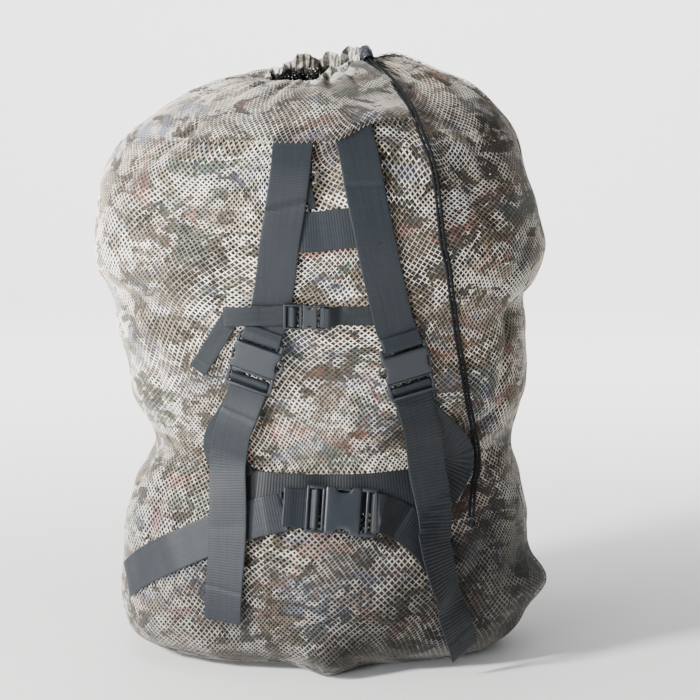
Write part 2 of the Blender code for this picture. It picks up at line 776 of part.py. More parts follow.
make_band("crossband", CROSSBAND, WIDE_WEBBING)
make_band("waist_band", WAIST_BAND, WIDE_WEBBING)
make_shoulder_strap("shoulder_strap_left", SHOULDER_LEFT, left_place, 0.0)
make_shoulder_strap("shoulder_strap_right", SHOULDER_RIGHT, right_place, 0.36)
make_adjusting_strap("adjusting_strap_left", LEFT_FIXED_RUN, LEFT_TAIL, left_place, left_bars)
make_adjusting_strap("adjusting_strap_right", RIGHT_FIXED_RUN, RIGHT_TAIL, right_place, right_bars)


def make_waist_belts():
    """The belt's two ends: one from the left side seam to the ladder, one from the socket to the right."""
    far, far_normals = wrapped(BELT_LEFT)
    far_across = across_of(far, far_normals)
    far = SEAT.push(far, far_across, far_normals, WIDE_WEBBING / 2, WEBBING_THICK / 2, SEATED)
    middle, end = sum(waist_bars[1]) / 2, waist_bars[2][1]
    behind = waist_place.point(0, [end + 5, end - BAR - 1], [-LOOP_RADIUS, -LOOP_RADIUS])
    turn = waist_place.loop(middle, -1, -1, LOOP_RADIUS, 5)
    front = waist_place.point(0, [end - BAR - 1, end + 4, end + 30], [LOOP_RADIUS, LOOP_RADIUS, LOOP_RADIUS - 1])
    run = joined_run(far, behind, turn, front)
    sideways = joined_run(far_across, np.repeat([waist_place.across], len(run) - len(far), 0))
    webbing("waist_belt_left", run, sideways, WIDE_WEBBING)
    near, near_normals = laid(BELT_RIGHT)
    near_across = across_of(near, near_normals)
    near = SEAT.push(near, near_across, near_normals, WIDE_WEBBING / 2, WEBBING_THICK / 2, SEATED)
    front = waist_place.point(0, [-8.0, -1.0], [LOOP_RADIUS - 0.6, LOOP_RADIUS])
    turn = waist_place.loop(BAR / 2, 1, 1, LOOP_RADIUS, 5)
    behind = waist_place.point(0, [-1.0, -7.0], [-LOOP_RADIUS, -LOOP_RADIUS + 0.6])
    run = joined_run(near, front, turn, behind)
    sideways = joined_run(near_across, np.repeat([waist_place.across], len(run) - len(near), 0))
    webbing("waist_belt_right", run, sideways, WIDE_WEBBING)


make_waist_belts()


def make_chest_straps():
    """Narrow webbing: sewn to the left shoulder strap, over the ladder and out as the folded tail."""
    fixed, fixed_normals = laid(CHEST_FIXED_RUN)
    fixed_across = across_of(fixed, fixed_normals)
    tail, tail_normals = laid(CHEST_TAIL, 9.0)
    tail_across = across_of(tail, tail_normals)
    middle, end = sum(chest_bars[1]) / 2, chest_bars[2][1]
    behind = chest_place.point(0, [end, end - BAR - 1], [-LOOP_RADIUS, -LOOP_RADIUS])
    turn = chest_place.loop(middle, -1, -1, LOOP_RADIUS, 5)
    front = chest_place.point(0, [end - BAR - 1, end + 1], [LOOP_RADIUS, LOOP_RADIUS])
    run = joined_run(fixed, behind, turn, front, tail)
    crossing = np.repeat([chest_place.across], len(run) - len(fixed) - len(tail), 0)
    webbing("chest_strap_left", run, joined_run(fixed_across, crossing, tail_across), NARROW_WEBBING)
    near, near_normals = laid(CHEST_RIGHT)
    near_across = across_of(near, near_normals)
    near = SEAT.push(near, near_across, near_normals, NARROW_WEBBING / 2, WEBBING_THICK / 2, SEATED)
    front = chest_place.point(0, [-6.0, -1.0], [LOOP_RADIUS - 0.6, LOOP_RADIUS])
    turn = chest_place.loop(BAR / 2, 1, 1, LOOP_RADIUS, 5)
    behind = chest_place.point(0, [-1.0, -9.0], [-LOOP_RADIUS, -LOOP_RADIUS + 0.6])
    run = joined_run(near, front, turn, behind)
    sideways = joined_run(near_across, np.repeat([chest_place.across], len(run) - len(near), 0))
    webbing("chest_strap_right", run, sideways, NARROW_WEBBING)


make_chest_straps()


def make_hang_loop():
    """A plain wire ring between two tabs, each folded round its wire: one from the lip, one from the crossband."""
    x, height, lift = RING_CENTRE
    centre, normal = on_bag(front_angle(np.float64(x), height), height)
    place = Place(centre, centre + np.array([0, 0, 1]) - normal * normal[2], normal, lift)
    sweep = np.radians(90.0 * np.repeat(np.arange(4), 3) + np.tile((0.0, 45.0, 90.0), 4))
    middle = np.radians(90.0 * np.repeat(np.arange(4), 3) + 45.0)
    wide = np.sign(np.cos(middle)) * (RING_HALF_WIDTH - RING_CORNER) + RING_CORNER * np.cos(sweep)
    high = np.sign(np.sin(middle)) * (RING_HALF_HEIGHT - RING_CORNER) + RING_CORNER * np.sin(sweep)
    tube_loop("hang_ring", place.point(wide, high, 0), RING_WIRE, 6, "nickel", normal)
    for name, rows, wire, way in (
        ("hang_tab", HANG_TAB, RING_HALF_HEIGHT, -1),
        ("ring_tab", RING_TAB, -RING_HALF_HEIGHT, 1),
    ):
        run, normals = laid(rows, 10.0)
        sideways = across_of(run, normals)
        front = place.point(0, [wire - way * 8, wire - way * 1.5], [TAB_LOOP - 0.6, TAB_LOOP])
        turn = place.loop(wire, 1, way, TAB_LOOP, 5)
        behind = place.point(0, [wire - way * 1.5, wire - way * 8], [-TAB_LOOP, -TAB_LOOP])
        across = joined_run(sideways, np.repeat([place.across * way], 9, 0))
        webbing(name, joined_run(run, front, turn, behind), across, TAB_WEBBING)


make_hang_loop()

route = np.array(CORD_ROUTE, float)
ahead = unit(np.gradient(route, axis=0))
beside = unit(np.cross(ahead, (0, -1, 0.25)))
cord("drawcord_strand_left", route + beside * STRAND_APART / 2, CORD_RADIUS)
cord("drawcord_strand_right", route - beside * STRAND_APART / 2, CORD_RADIUS)
turned(
    "cord_lock",
    route[1],
    route[2] - route[0],
    [(-9, 5.2), (-9, 5.8), (-6, 7.2), (6, 7.2), (9, 5.8), (9, 5.2)],
    14,
    "buckle_plastic",
    hollow=True,
)
turned(
    "cord_knot",
    route[-1] + ahead[-1] * 6.6,
    ahead[-1],
    [(-6, 4.2), (-3, 6.4), (3, 6.2), (6, 3.2)],
    10,
    "black_cord",
)
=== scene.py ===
"""Mesh decoy bag with its carrying harness fastened, standing filled out on its flattened base.

Tables are in millimetres, as in the part's source, and are turned into metres where a mesh is made. Angles
run round the bag from its right side: 90 degrees is the far side, 180 the left side and 270 the harness side.
"""

import math

import bpy
import numpy as np
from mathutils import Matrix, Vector
from mathutils.bvhtree import BVHTree


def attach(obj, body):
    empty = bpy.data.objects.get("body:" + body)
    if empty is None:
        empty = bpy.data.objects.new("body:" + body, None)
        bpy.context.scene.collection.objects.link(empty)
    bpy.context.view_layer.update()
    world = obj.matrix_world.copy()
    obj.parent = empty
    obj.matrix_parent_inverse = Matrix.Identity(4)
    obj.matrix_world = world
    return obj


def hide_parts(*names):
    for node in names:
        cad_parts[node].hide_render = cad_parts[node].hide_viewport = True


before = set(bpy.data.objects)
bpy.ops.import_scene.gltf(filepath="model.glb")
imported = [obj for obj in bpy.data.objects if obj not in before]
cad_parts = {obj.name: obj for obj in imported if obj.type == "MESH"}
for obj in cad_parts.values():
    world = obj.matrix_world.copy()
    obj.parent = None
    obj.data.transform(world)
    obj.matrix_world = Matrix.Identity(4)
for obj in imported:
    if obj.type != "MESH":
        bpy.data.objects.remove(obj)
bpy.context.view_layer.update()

# The studio: a pale floor and backdrop in one sweep, a soft key from the upper left, a lower soft light from
# the front left, light from above and two lamps on the backdrop. The camera stands where the photograph was
# taken from, nine degrees above level.
MM = 0.001
CAMERA_DISTANCE = 3.0
CAMERA_RISE = math.radians(9.0)
CAMERA_TARGET = Vector((0.0355, 0.0, 0.4007))


def linked(name, data):
    """A new object in the scene."""
    made = bpy.data.objects.new(name, data)
    bpy.context.scene.collection.objects.link(made)
    return made


camera = linked("camera", bpy.data.cameras.new("camera"))
camera.data.lens = 115.2
camera.data.sensor_width = 36.0
view_back = Vector((0.0, -math.cos(CAMERA_RISE), math.sin(CAMERA_RISE)))
camera.location = CAMERA_TARGET + view_back * CAMERA_DISTANCE
camera.rotation_euler = (-view_back).to_track_quat("-Z", "Y").to_euler()
bpy.context.scene.camera = camera


def studio_light(name, place, size, power, colour, towards=tuple(CAMERA_TARGET)):
    """A square soft light at PLACE that faces the middle of the bag, or another place."""
    lamp = bpy.data.lights.new(name, "AREA")
    lamp.shape = "SQUARE"
    lamp.size = size
    lamp.energy = power
    lamp.color = colour
    made = linked(name, lamp)
    made.location = place
    made.rotation_euler = (Vector(towards) - Vector(place)).to_track_quat("-Z", "Y").to_euler()


studio_light("key_light", (-3.0, -1.9, 2.0), 0.6, 430, (1.0, 0.98, 0.95))
studio_light("window_light", (-1.9, -2.9, 0.75), 0.8, 72, (0.95, 0.98, 1.0))
studio_light("top_light", (-0.6, 0.2, 3.2), 1.4, 26, (1.0, 1.0, 1.0))
studio_light("backdrop_light_left", (-1.6, 1.5, 2.4), 1.2, 190, (1.0, 1.0, 1.0), (-1.2, 4.6, 0.9))
studio_light("backdrop_light_right", (1.6, 1.5, 2.4), 1.2, 215, (1.0, 1.0, 1.0), (1.2, 4.6, 0.9))

world = bpy.data.worlds.new("studio")
world.use_nodes = True
world.node_tree.nodes["Background"].inputs["Color"].default_value = (1.0, 1.0, 1.0, 1.0)
world.node_tree.nodes["Background"].inputs["Strength"].default_value = 0.3
bpy.context.scene.world = world


def shader(name, roughness, **sockets):
    """A new material with its Principled node; other sockets by name, with underscores for spaces."""
    made = bpy.data.materials.new(name)
    made.use_nodes = True
    node = made.node_tree.nodes["Principled BSDF"]
    node.inputs["Roughness"].default_value = roughness
    for socket, value in sockets.items():
        node.inputs[socket.replace("_", " ")].default_value = value
    return made, made.node_tree, node


def filled(tree, made, values):
    """Sets a node's inputs, by name or number, to values or to other nodes' sockets."""
    for key, value in values.items():
        if isinstance(value, bpy.types.NodeSocket):
            tree.links.new(value, made.inputs[key])
        else:
            made.inputs[key].default_value = value
    return made


def added(tree, kind, values):
    """A new node with its inputs set."""
    return filled(tree, tree.nodes.new(kind), values)


def noise(tree, vector, scale, detail=2.0, **others):
    """Noise from 0 to 1 at a place, or over the object's own box where VECTOR is None."""
    values = {"Scale": scale, "Detail": detail, **others}
    if vector is not None:
        values["Vector"] = vector
    return added(tree, "ShaderNodeTexNoise", values).outputs["Fac"]


def arithmetic(tree, operation, *values):
    """One sum of a Math node, with numbers or sockets in the order of its inputs."""
    node = added(tree, "ShaderNodeMath", dict(enumerate(values)))
    node.operation = operation
    return node.outputs[0]


def mapped(tree, value, low, high, to_low=0.0, to_high=1.0, kind="LINEAR"):
    """VALUE carried from the range LOW to HIGH over to the range TO_LOW to TO_HIGH."""
    values = {"Value": value, "From Min": low, "From Max": high, "To Min": to_low, "To Max": to_high}
    node = added(tree, "ShaderNodeMapRange", values)
    node.interpolation_type = kind
    return node.outputs["Result"]


def mixed(tree, share, under, over, blend="MIX"):
    """Colour OVER laid on UNDER by SHARE. Each is a colour of three parts or a socket."""
    node = tree.nodes.new("ShaderNodeMix")
    node.data_type = "RGBA"
    node.blend_type = blend
    colours = [(*colour, 1.0) if isinstance(colour, tuple) else colour for colour in (under, over)]
    return filled(tree, node, {"Factor": share, "A": colours[0], "B": colours[1]}).outputs["Result"]


def bumped(tree, surface, height, strength, distance):
    """Small relief of a HEIGHT socket on a surface."""
    bump = added(tree, "ShaderNodeBump", {"Height": height, "Strength": strength, "Distance": distance})
    filled(tree, surface, {"Normal": bump.outputs["Normal"]})


def run_of(tree):
    """The UV map "run" of a strap or tube, with its two values apart."""
    run = tree.nodes.new("ShaderNodeUVMap")
    run.uv_map = "run"
    split = added(tree, "ShaderNodeSeparateXYZ", {0: run.outputs["UV"]})
    return run.outputs["UV"], split.outputs["X"], split.outputs["Y"]


def tinted(base, share):
    """A colour made darker or paler."""
    return tuple(share * channel for channel in base)


floor_paint, tree, surface = shader("floor_paint", 0.75, Base_Color=(0.9, 0.9, 0.9, 1.0))
filled(tree, surface, {"Roughness": mapped(tree, noise(tree, None, 3.0), 0.0, 1.0, 0.72, 0.78)})
SWEEP_START = 3.4
SWEEP_RADIUS = 1.6
bend = np.linspace(0, math.pi / 2, 25)
sweep_y = np.concatenate([[-6.0], SWEEP_START + SWEEP_RADIUS * np.sin(bend), [SWEEP_START + SWEEP_RADIUS]])
sweep_z = np.concatenate([[0.0], SWEEP_RADIUS * (1 - np.cos(bend)), [6.0]])
corners = [(x, y, z) for y, z in zip(sweep_y, sweep_z) for x in (-9.0, 9.0)]
floor_mesh = bpy.data.meshes.new("floor")
strips = [(2 * n, 2 * n + 1, 2 * n + 3, 2 * n + 2) for n in range(len(sweep_y) - 1)]
floor_mesh.from_pydata(corners, [], strips)
floor_mesh.polygons.foreach_set("use_smooth", [True] * len(floor_mesh.polygons))
floor_mesh.materials.append(floor_paint)
linked("floor", floor_mesh)

# The bag: one tube of knitted camouflage mesh, sewn shut at the bottom and drawn in at the mouth. Its upper
# part folds down over the tops of the shoulder straps as a lip. It is given the form that its load gives it:
# bulges, a waist, and creases between them.
MOUTH_DIP = 33.0
LIP_LEVEL = 20.05
LIP_START = LIP_LEVEL - 0.18
LIP_DEPTH = 10.5
LIP_TUCK = 5.0
PLEATS = 12
PLEAT_DEPTH = 4.0
ARC_RADIUS = 250.0
BAG_SECTIONS = (
    # height, left, right, front, back, squareness
    (0, 198, 200, 100, 150, 2.3),
    (7, 230, 230, 131, 172, 2.3),
    (24, 259, 255, 158, 187, 2.4),
    (52, 271, 271, 177, 195, 2.4),
    (90, 273, 276, 186, 200, 2.4),
    (130, 271, 276, 187, 202, 2.4),
    (180, 265, 274, 180, 200, 2.4),
    (225, 252, 267, 170, 194, 2.4),
    (262, 234, 254, 162, 188, 2.4),
    (285, 228, 251, 159, 185, 2.4),
    (312, 236, 257, 162, 187, 2.4),
    (347, 253, 266, 170, 193, 2.4),
    (390, 261, 271, 181, 201, 2.4),
    (430, 271, 267, 191, 208, 2.4),
    (468, 277, 268, 198, 213, 2.4),
    (505, 295, 285, 204, 216, 2.4),
    (545, 301, 293, 208, 218, 2.4),
    (585, 298, 285, 207, 216, 2.4),
    (622, 293, 274, 201, 210, 2.4),
    (656, 282, 265, 191, 200, 2.4),
    (690, 255, 254, 175, 184, 2.3),
    (718, 222, 236, 151, 160, 2.2),
    (741, 184, 214, 121, 128, 2.1),
    (760, 140, 180, 88, 92, 2.0),
    (773, 108, 137, 60, 62, 2.0),
    (780, 86, 92, 37, 40, 2.0),
    (782, 76, 59, 24, 26, 2.0),
    (790, 75, 57, 23, 25, 2.0),
)
MOUTH_LEVEL = len(BAG_SECTIONS) - 1.0
FOLDS = (
    # angle deg, height, tilt deg, run, width, depth
    (207, 486, -6, 105, 17, -9),
    (345, 474, 12, 75, 16, -8),
    (271, 345, 0, 80, 58, 11),
    (268, 118, 0, 110, 60, 6),
    (316, 688, -48, 45, 15, -5),
    (311, 617, -60, 70, 15, -5),
    (309, 122, 42, 55, 15, -6),
    (200, 284, 0, 70, 16, -6),
    (338, 284, 0, 70, 16, -6),
    (228, 598, 35, 80, 18, -5),
    (95, 520, 10, 130, 24, -9),
    (80, 292, -4, 170, 26, -8),
    (112, 132, -14, 115, 20, -7),
    (58, 400, 34, 95, 18, -7),
    (130, 420, -38, 90, 18, -6),
    (165, 380, 60, 85, 16, -6),
)
CREASES = (
    # angle deg, height, tilt deg, run, width, depth: the finer folds that the net takes between the main ones
    (227, 686, 42, 34, 8, -5),
    (238, 557, 22, 52, 9, -4),
    (222, 520, -14, 46, 8, 3),
    (214, 640, 60, 40, 9, -3),
    (244, 628, -40, 30, 8, -3),
    (236, 430, 58, 60, 9, -3),
    (220, 402, 74, 60, 10, -4),
    (226, 352, 40, 40, 9, -3),
    (212, 322, 18, 50, 8, -4),
    (228, 300, -8, 44, 7, -3),
    (316, 560, -52, 60, 8, 3),
    (322, 510, 40, 44, 9, -3),
    (330, 420, 70, 60, 9, -4),
    (322, 330, 30, 46, 8, -4),
    (330, 262, -20, 40, 8, -3),
    (320, 190, 62, 48, 9, -3),
    (300, 90, 12, 60, 9, -3),
    (240, 66, -10, 70, 9, -3),
    (215, 190, 80, 60, 10, -3),
    (100, 610, -20, 80, 10, -4),
    (60, 560, 40, 60, 9, -4),
    (140, 560, 20, 70, 10, -4),
    (75, 200, 50, 60, 9, -4),
    (150, 250, -24, 60, 9, -4),
    (10, 420, 30, 60, 10, -4),
    (350, 200, -46, 50, 9, -4),
    (180, 610, 74, 60, 10, -3),
    (186, 180, 60, 60, 10, -4),
)


def through(table, at):
    """Values of a table's columns at row positions AT, on a cubic curve through its rows."""
    rows = np.asarray(table, float)
    at = np.clip(np.asarray(at, float), 0, len(rows) - 1)
    low = np.minimum(at.astype(int), len(rows) - 2)
    part = (at - low)[..., None]
    slope = np.gradient(rows, axis=0)
    return (
        (2 * part**3 - 3 * part**2 + 1) * rows[low]
        + (part**3 - 2 * part**2 + part) * slope[low]
        + (3 * part**2 - 2 * part**3) * rows[low + 1]
        + (part**3 - part**2) * slope[low + 1]
    )


def ease(value):
    """0 below 0, 1 above 1 and an S-curve between."""
    value = np.clip(value, 0, 1)
    return value * value * (3 - 2 * value)


def unit(vectors):
    """The same directions at length 1."""
    vectors = np.asarray(vectors, float)
    return vectors / np.linalg.norm(vectors, axis=-1, keepdims=True)


def squared_off(value, square):
    """A sine or cosine for a superellipse: its sign times |value|^(2/square)."""
    return np.sign(value) * np.abs(value) ** (2 / square)


def walked_along(line):
    """Distance from the start at each point of a line."""
    return np.concatenate([[0], np.cumsum(np.linalg.norm(np.diff(line, axis=0), axis=1))])


def plain_bag(angle, level):
    """A superellipse with four reaches at each level: x = reach |cos|^(2/n), y = reach |sin|^(2/n)."""
    angle, level = np.broadcast_arrays(np.asarray(angle, float), np.asarray(level, float))
    height, left, right, front, back, square = np.moveaxis(through(BAG_SECTIONS, level), -1, 0)
    across = np.where(np.cos(angle) > 0, right, left)
    deep = np.where(np.sin(angle) > 0, back, front)
    x, y = across * squared_off(np.cos(angle), square), deep * squared_off(np.sin(angle), square)
    return np.stack([x, y, height], -1)


def front_weight(angle):
    """1 at the middle of the harness side, falling to 0 beyond the ends of the folded-over lip."""
    turn = np.degrees(np.mod(angle, 2 * math.pi))
    return ease((turn - 222) / 18) * ease((303 - turn) / 10)


def lip_rise(angle, level):
    """How far the lip's line climbs, in levels: it is 20 mm higher over the right shoulder strap."""
    turn = np.degrees(np.mod(angle, 2 * math.pi))
    return 0.75 * ease((turn - 270) / 14) * np.exp(-(((level - LIP_LEVEL) / 1.3) ** 2)) * front_weight(angle)


def gaussian_folds(table, angle, height):
    """Sum over a table of depth * exp(-(across/width)^2) * exp(-(along/run)^4) about each fold's line."""
    out = np.zeros(height.shape)
    for fold_angle, fold_height, tilt, run, width, depth in table:
        turn = np.mod(angle - math.radians(fold_angle) + math.pi, 2 * math.pi) - math.pi
        slope = math.radians(tilt)
        along = turn * ARC_RADIUS * math.cos(slope) + (height - fold_height) * math.sin(slope)
        across = (height - fold_height) * math.cos(slope) - turn * ARC_RADIUS * math.sin(slope)
        out = out + depth * np.exp(-((across / width) ** 2)) * np.exp(-((along / run) ** 4))
    return out


def main_folds(angle, level, point):
    """The large folds and the mouth's pleats: depth times cos(pleats * angle), rising towards the mouth."""
    gathered = ease((level - 23.5) / (MOUTH_LEVEL - 24.0))
    pleats = np.cos(PLEATS * angle + 0.7 * np.sin(2 * angle) + 0.4)
    return gaussian_folds(FOLDS, angle, point[..., 2]) + PLEAT_DEPTH * gathered * pleats


def fine_folds(angle, level, point):
    """Fine creases, gathers that fan out from the mouth as waves round it, and lumps as products of waves."""
    x, y, height = np.moveaxis(point, -1, 0)
    near_mouth = ease((level - 20.9) / 3.0)
    fan = 3.1 * np.sin(23 * angle + 2.2 * np.sin(4 * angle + 0.6))
    fan = fan + 1.7 * np.sin(41 * angle + 3 * np.sin(3 * angle))
    fan = fan * near_mouth + 0.7 * near_mouth**2 * np.sin(67 * angle)
    lumps = 1.9 * np.sin(x / 27 + 1.3 * np.sin(height / 33)) * np.sin(height / 23 + 2 * np.sin((x + y) / 47))
    lumps = lumps + 0.8 * np.sin(height / 9.1 + x / 21) * np.sin((x - y) / 13.7 + height / 30)
    return gaussian_folds(CREASES, angle, height) + fan + lumps * ease(level / 2)


def mouth_sag(angle, x):
    """How far the drawn hem hangs below the plain mouth, as bell curves in x: the near edge sags to the left
    and beside the cord lock, and the far edge falls away to the left."""
    near = ease(0.5 - 2.5 * np.sin(angle))
    near_edge = 10 * ease((20 - x) / 40) + 13 * np.exp(-(((x - 26) / 15) ** 2))
    far_edge = 9 * ease((40 - x) / 30) + 9 * ease((-38 - x) / 26)
    return near * near_edge + (1 - near) * far_edge


def bag_point(angle, level, above_lip, fine=1.0):
    """Outer face of the net. ABOVE_LIP is 1 on the folded-over upper net, whose edge rolls under, and 0 below
    it. FINE is the share of the fine folds that is laid on the main ones."""
    angle, level = np.broadcast_arrays(np.asarray(angle, float), np.asarray(level, float))
    raised = level + lip_rise(angle, level)
    step = 0.02
    point = plain_bag(angle, raised)
    round_way = plain_bag(angle + step, raised) - plain_bag(angle - step, raised)
    up_way = plain_bag(angle, raised + step) - plain_bag(angle, raised - step)
    normal = unit(np.cross(round_way, up_way))
    weight = front_weight(angle)
    roll = 0.66 + 0.34 * np.sqrt(1 - (1 - np.clip((level - LIP_START) / 0.14, 0, 1)) ** 2)
    lip = LIP_DEPTH * weight * above_lip * np.exp(-np.maximum(level - LIP_LEVEL, 0) / 1.6) * roll
    out = main_folds(angle, level, point) + fine * fine_folds(angle, level, point) + lip
    point = point + normal * out[..., None]
    tuck = LIP_TUCK * weight * (1 - above_lip) * ease((level - LIP_LEVEL + 0.5) / 0.5)
    near_mouth = ease((level - 22.0) / (MOUTH_LEVEL - 22.0))
    low_left = ease((0.6 - np.sin(angle)) / 0.9) * (1 - ease((point[..., 0] + 10) / 45))
    from_puff = ((point[..., 0] - 96) / 36) ** 2 + ((point[..., 1] - 8) / 36) ** 2
    right_puff = 11 * np.exp(-from_puff) * ease(level - 22)
    point[..., 2] += tuck - MOUTH_DIP * near_mouth * low_left + right_puff
    point[..., 2] -= fine * near_mouth * mouth_sag(angle, point[..., 0])
    corner = 26.6 * np.exp(-(((point[..., 2] - 92) / 27) ** 2)) * np.maximum(np.cos(angle + 0.12), 0) ** 24
    point[..., 0] += corner
    lobe = 50 * np.exp(-(((point[..., 0] - 8) / 36) ** 2)) * ease(1 - point[..., 2] / 80)
    point[..., 1] -= np.where(np.sin(angle) < 0, lobe, 0)
    return point


class NetFace:
    """A fine grid of the net between two levels, read straight between its points. The way round is in arc
    length of the plain bag, as an angle from 0 to 2 pi, so that the knit is equally wide all round."""

    def __init__(self, low, high, above_lip, rows, columns=720):
        self.low, self.high, self.rows, self.columns = low, high, rows, columns
        self.levels = np.linspace(low, high, rows)
        swept = np.linspace(0, 2 * math.pi, 2 * columns + 1)
        plain = plain_bag(swept[None, :], self.levels[:, None])
        arc = np.cumsum(np.linalg.norm(np.diff(plain, axis=1), axis=-1), axis=1)
        share = np.concatenate([np.zeros((rows, 1)), arc / arc[:, -1:]], axis=1)
        even = np.linspace(0, 1, columns, endpoint=False)
        angles = np.array([np.interp(even, row, swept) for row in share])
        self.points = bag_point(angles, self.levels[:, None], above_lip)
        round_way = np.roll(self.points, -1, 1) - np.roll(self.points, 1, 1)
        self.normals = unit(np.cross(round_way, np.gradient(self.points, axis=0)))
        climb = np.linalg.norm(np.diff(self.points, axis=0), axis=-1).mean(axis=1)
        self.walked = np.concatenate([[0], np.cumsum(climb)])

    def read(self, field, angle, level):
        """A field's value between its four nearest points."""
        at = np.clip((level - self.low) / (self.high - self.low) * (self.rows - 1), 0, self.rows - 1.001)
        turn = np.mod(angle / (2 * math.pi) * self.columns, self.columns)
        row, column = at.astype(int), turn.astype(int) % self.columns
        up, along = (at - row)[..., None], (turn - np.floor(turn))[..., None]
        beside = (column + 1) % self.columns
        lower = field[row, column] * (1 - along) + field[row, beside] * along
        upper = field[row + 1, column] * (1 - along) + field[row + 1, beside] * along
        return lower * (1 - up) + upper * up

    def at(self, angle, level, out):
        """Points at a distance OUT from the face."""
        normal = unit(self.read(self.normals, angle, level))
        return self.read(self.points, angle, level) + normal * np.asarray(out)[..., None]


lower_face = NetFace(0.0, LIP_LEVEL + 0.42, 0.0, 520)
upper_face = NetFace(LIP_START, MOUTH_LEVEL, 1.0, 240)


def grid_faces(rows, columns, closed=False):
    """Four-sided faces between the points of a grid whose columns run round, and its rows too if CLOSED."""
    row, column = np.meshgrid(np.arange(rows if closed else rows - 1), np.arange(columns), indexing="ij")
    after, beside = (row + 1) % rows, (column + 1) % columns
    row, after = row * columns, after * columns
    return np.stack([row + column, row + beside, after + beside, after + column], -1).reshape(-1, 4)


def mesh_piece(name, points, faces, finish, uv=None):
    """One smooth-shaded object: points in millimetres, faces with equal sides, and a UV pair per point."""
    faces = np.asarray(faces)
    sides = faces.shape[1]
    mesh = bpy.data.meshes.new(name)
    mesh.vertices.add(len(points))
    mesh.vertices.foreach_set("co", (np.asarray(points, np.float64) * MM).astype(np.float32).ravel())
    mesh.loops.add(faces.size)
    mesh.loops.foreach_set("vertex_index", faces.astype(np.int32).ravel())
    mesh.polygons.add(len(faces))
    mesh.polygons.foreach_set("loop_start", np.arange(0, faces.size, sides, dtype=np.int32))
    mesh.polygons.foreach_set("use_smooth", np.ones(len(faces), bool))
    mesh.update(calc_edges=True)
    if uv is not None:
        layer = mesh.uv_layers.new(name="run")
        layer.data.foreach_set("uv", np.asarray(uv, np.float32)[faces.ravel()].ravel())
    mesh.validate()
    mesh.materials.append(finish)
    return linked(name, mesh)


def stand_for(piece, node):
    """Puts a piece on the bag's one body in the place of a node, whose own mesh is hidden."""
    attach(piece, "root")
    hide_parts(node)


CELL_ROW = 3.8
CELLS_ROUND = 214
HOLE_SHARE = 0.86
HOLE_SPREAD = 0.1
THREAD_RISE = 0.6
LATTICE_TURN = 0.035
random = np.random.default_rng(7)


def net_cells(face, first, last, cells_round, row_step, openness, rise, sink=0.0):
    """Knitted net in staggered diamond cells. The threads cross at column i + 1/2, moved half a column on odd
    rows; a cell reaches from its middle to the crossings half a column beside it and one row above and below
    it, and its hole to a share of that. The crossings are raised, so that each thread has a crest. The whole
    lattice is pulled askew by low waves of 8 mm or so, as drawn cloth is."""
    rows = np.arange(first - 1, last + 1)[:, None]
    columns = np.arange(cells_round)[None, :]

    def place(column, row, out):
        angle, walked = 2 * math.pi * column / cells_round, row * row_step
        angle, walked = np.broadcast_arrays(angle, walked)
        free = ease(walked / 60) * ease((face.walked[-1] - walked) / 60)
        sideways = np.sin(3 * angle + walked / 47) + 0.6 * np.sin(7 * angle - walked / 31 + 1)
        pulled = angle + LATTICE_TURN * free * sideways
        upwards = 6.5 * np.sin(4 * angle + walked / 60 + 1) + 3.5 * np.sin(9 * angle - walked / 37)
        risen = walked + free * upwards
        return face.at(pulled, np.interp(risen, face.walked, face.levels), out + np.zeros(risen.shape) - sink)

    crossings = place(columns + 0.5 * (rows % 2) + 0.5, rows, rise)
    cell_rows = rows[1:-1]
    odd = cell_rows % 2
    shift = 0.5 * odd
    share = openness(2 * math.pi * (columns + shift) / cells_round, cell_rows * row_step)
    share = share * (1 + HOLE_SPREAD * random.standard_normal(share.shape))
    share = HOLE_SHARE * np.clip(share, 0.2, 1.06)
    reach = ((0.5, 0), (0, 1), (-0.5, 0), (0, -1))
    rims = [place(columns + shift + over * share, cell_rows + up * share, 0.0) for over, up in reach]
    points = np.concatenate([crossings.reshape(-1, 3)] + [ring.reshape(-1, 3) for ring in rims])
    index = np.arange(rows.size * cells_round).reshape(rows.size, cells_round)
    at = np.arange(1, rows.size - 1)[:, None]
    before = np.mod(columns - 1, cells_round)
    over = np.mod(columns - 1 + odd, cells_round)
    corners = (index[at, columns], index[at + 1, over], index[at, before], index[at - 1, over])
    rim = [index.size + k * share.size + np.arange(share.size) for k in range(4)]
    faces = []
    for k in range(4):
        after = (k + 1) % 4
        faces.append(np.stack([corners[k].ravel(), corners[after].ravel(), rim[after], rim[k]], -1))
    return points, np.concatenate(faces)


# The mesh cloth is knitted from pale thread and printed with soft blotches of cream, sand, grey-brown and
# olive, with a few pink, sea-green and lilac ones. Over the print lies painted shade, a broad cloud that
# darkens the net towards the right and the bottom.
def blotch(tree, vector, scale, detail, low, high, seed):
    """0 to 1 in soft patches: noise at SCALE, stretched between two limits."""
    moved, turned = (seed, seed * 0.7, -seed), (0.3 * seed, 0.5, 0.2 * seed)
    values = {"Vector": vector, "Location": moved, "Rotation": turned, "Scale": (1.0, 1.0, 1.5)}
    turn = added(tree, "ShaderNodeMapping", values)
    patches = noise(tree, turn.outputs["Vector"], scale, detail, Roughness=0.62, Distortion=1.1)
    return mapped(tree, patches, low, high, kind="SMOOTHSTEP")


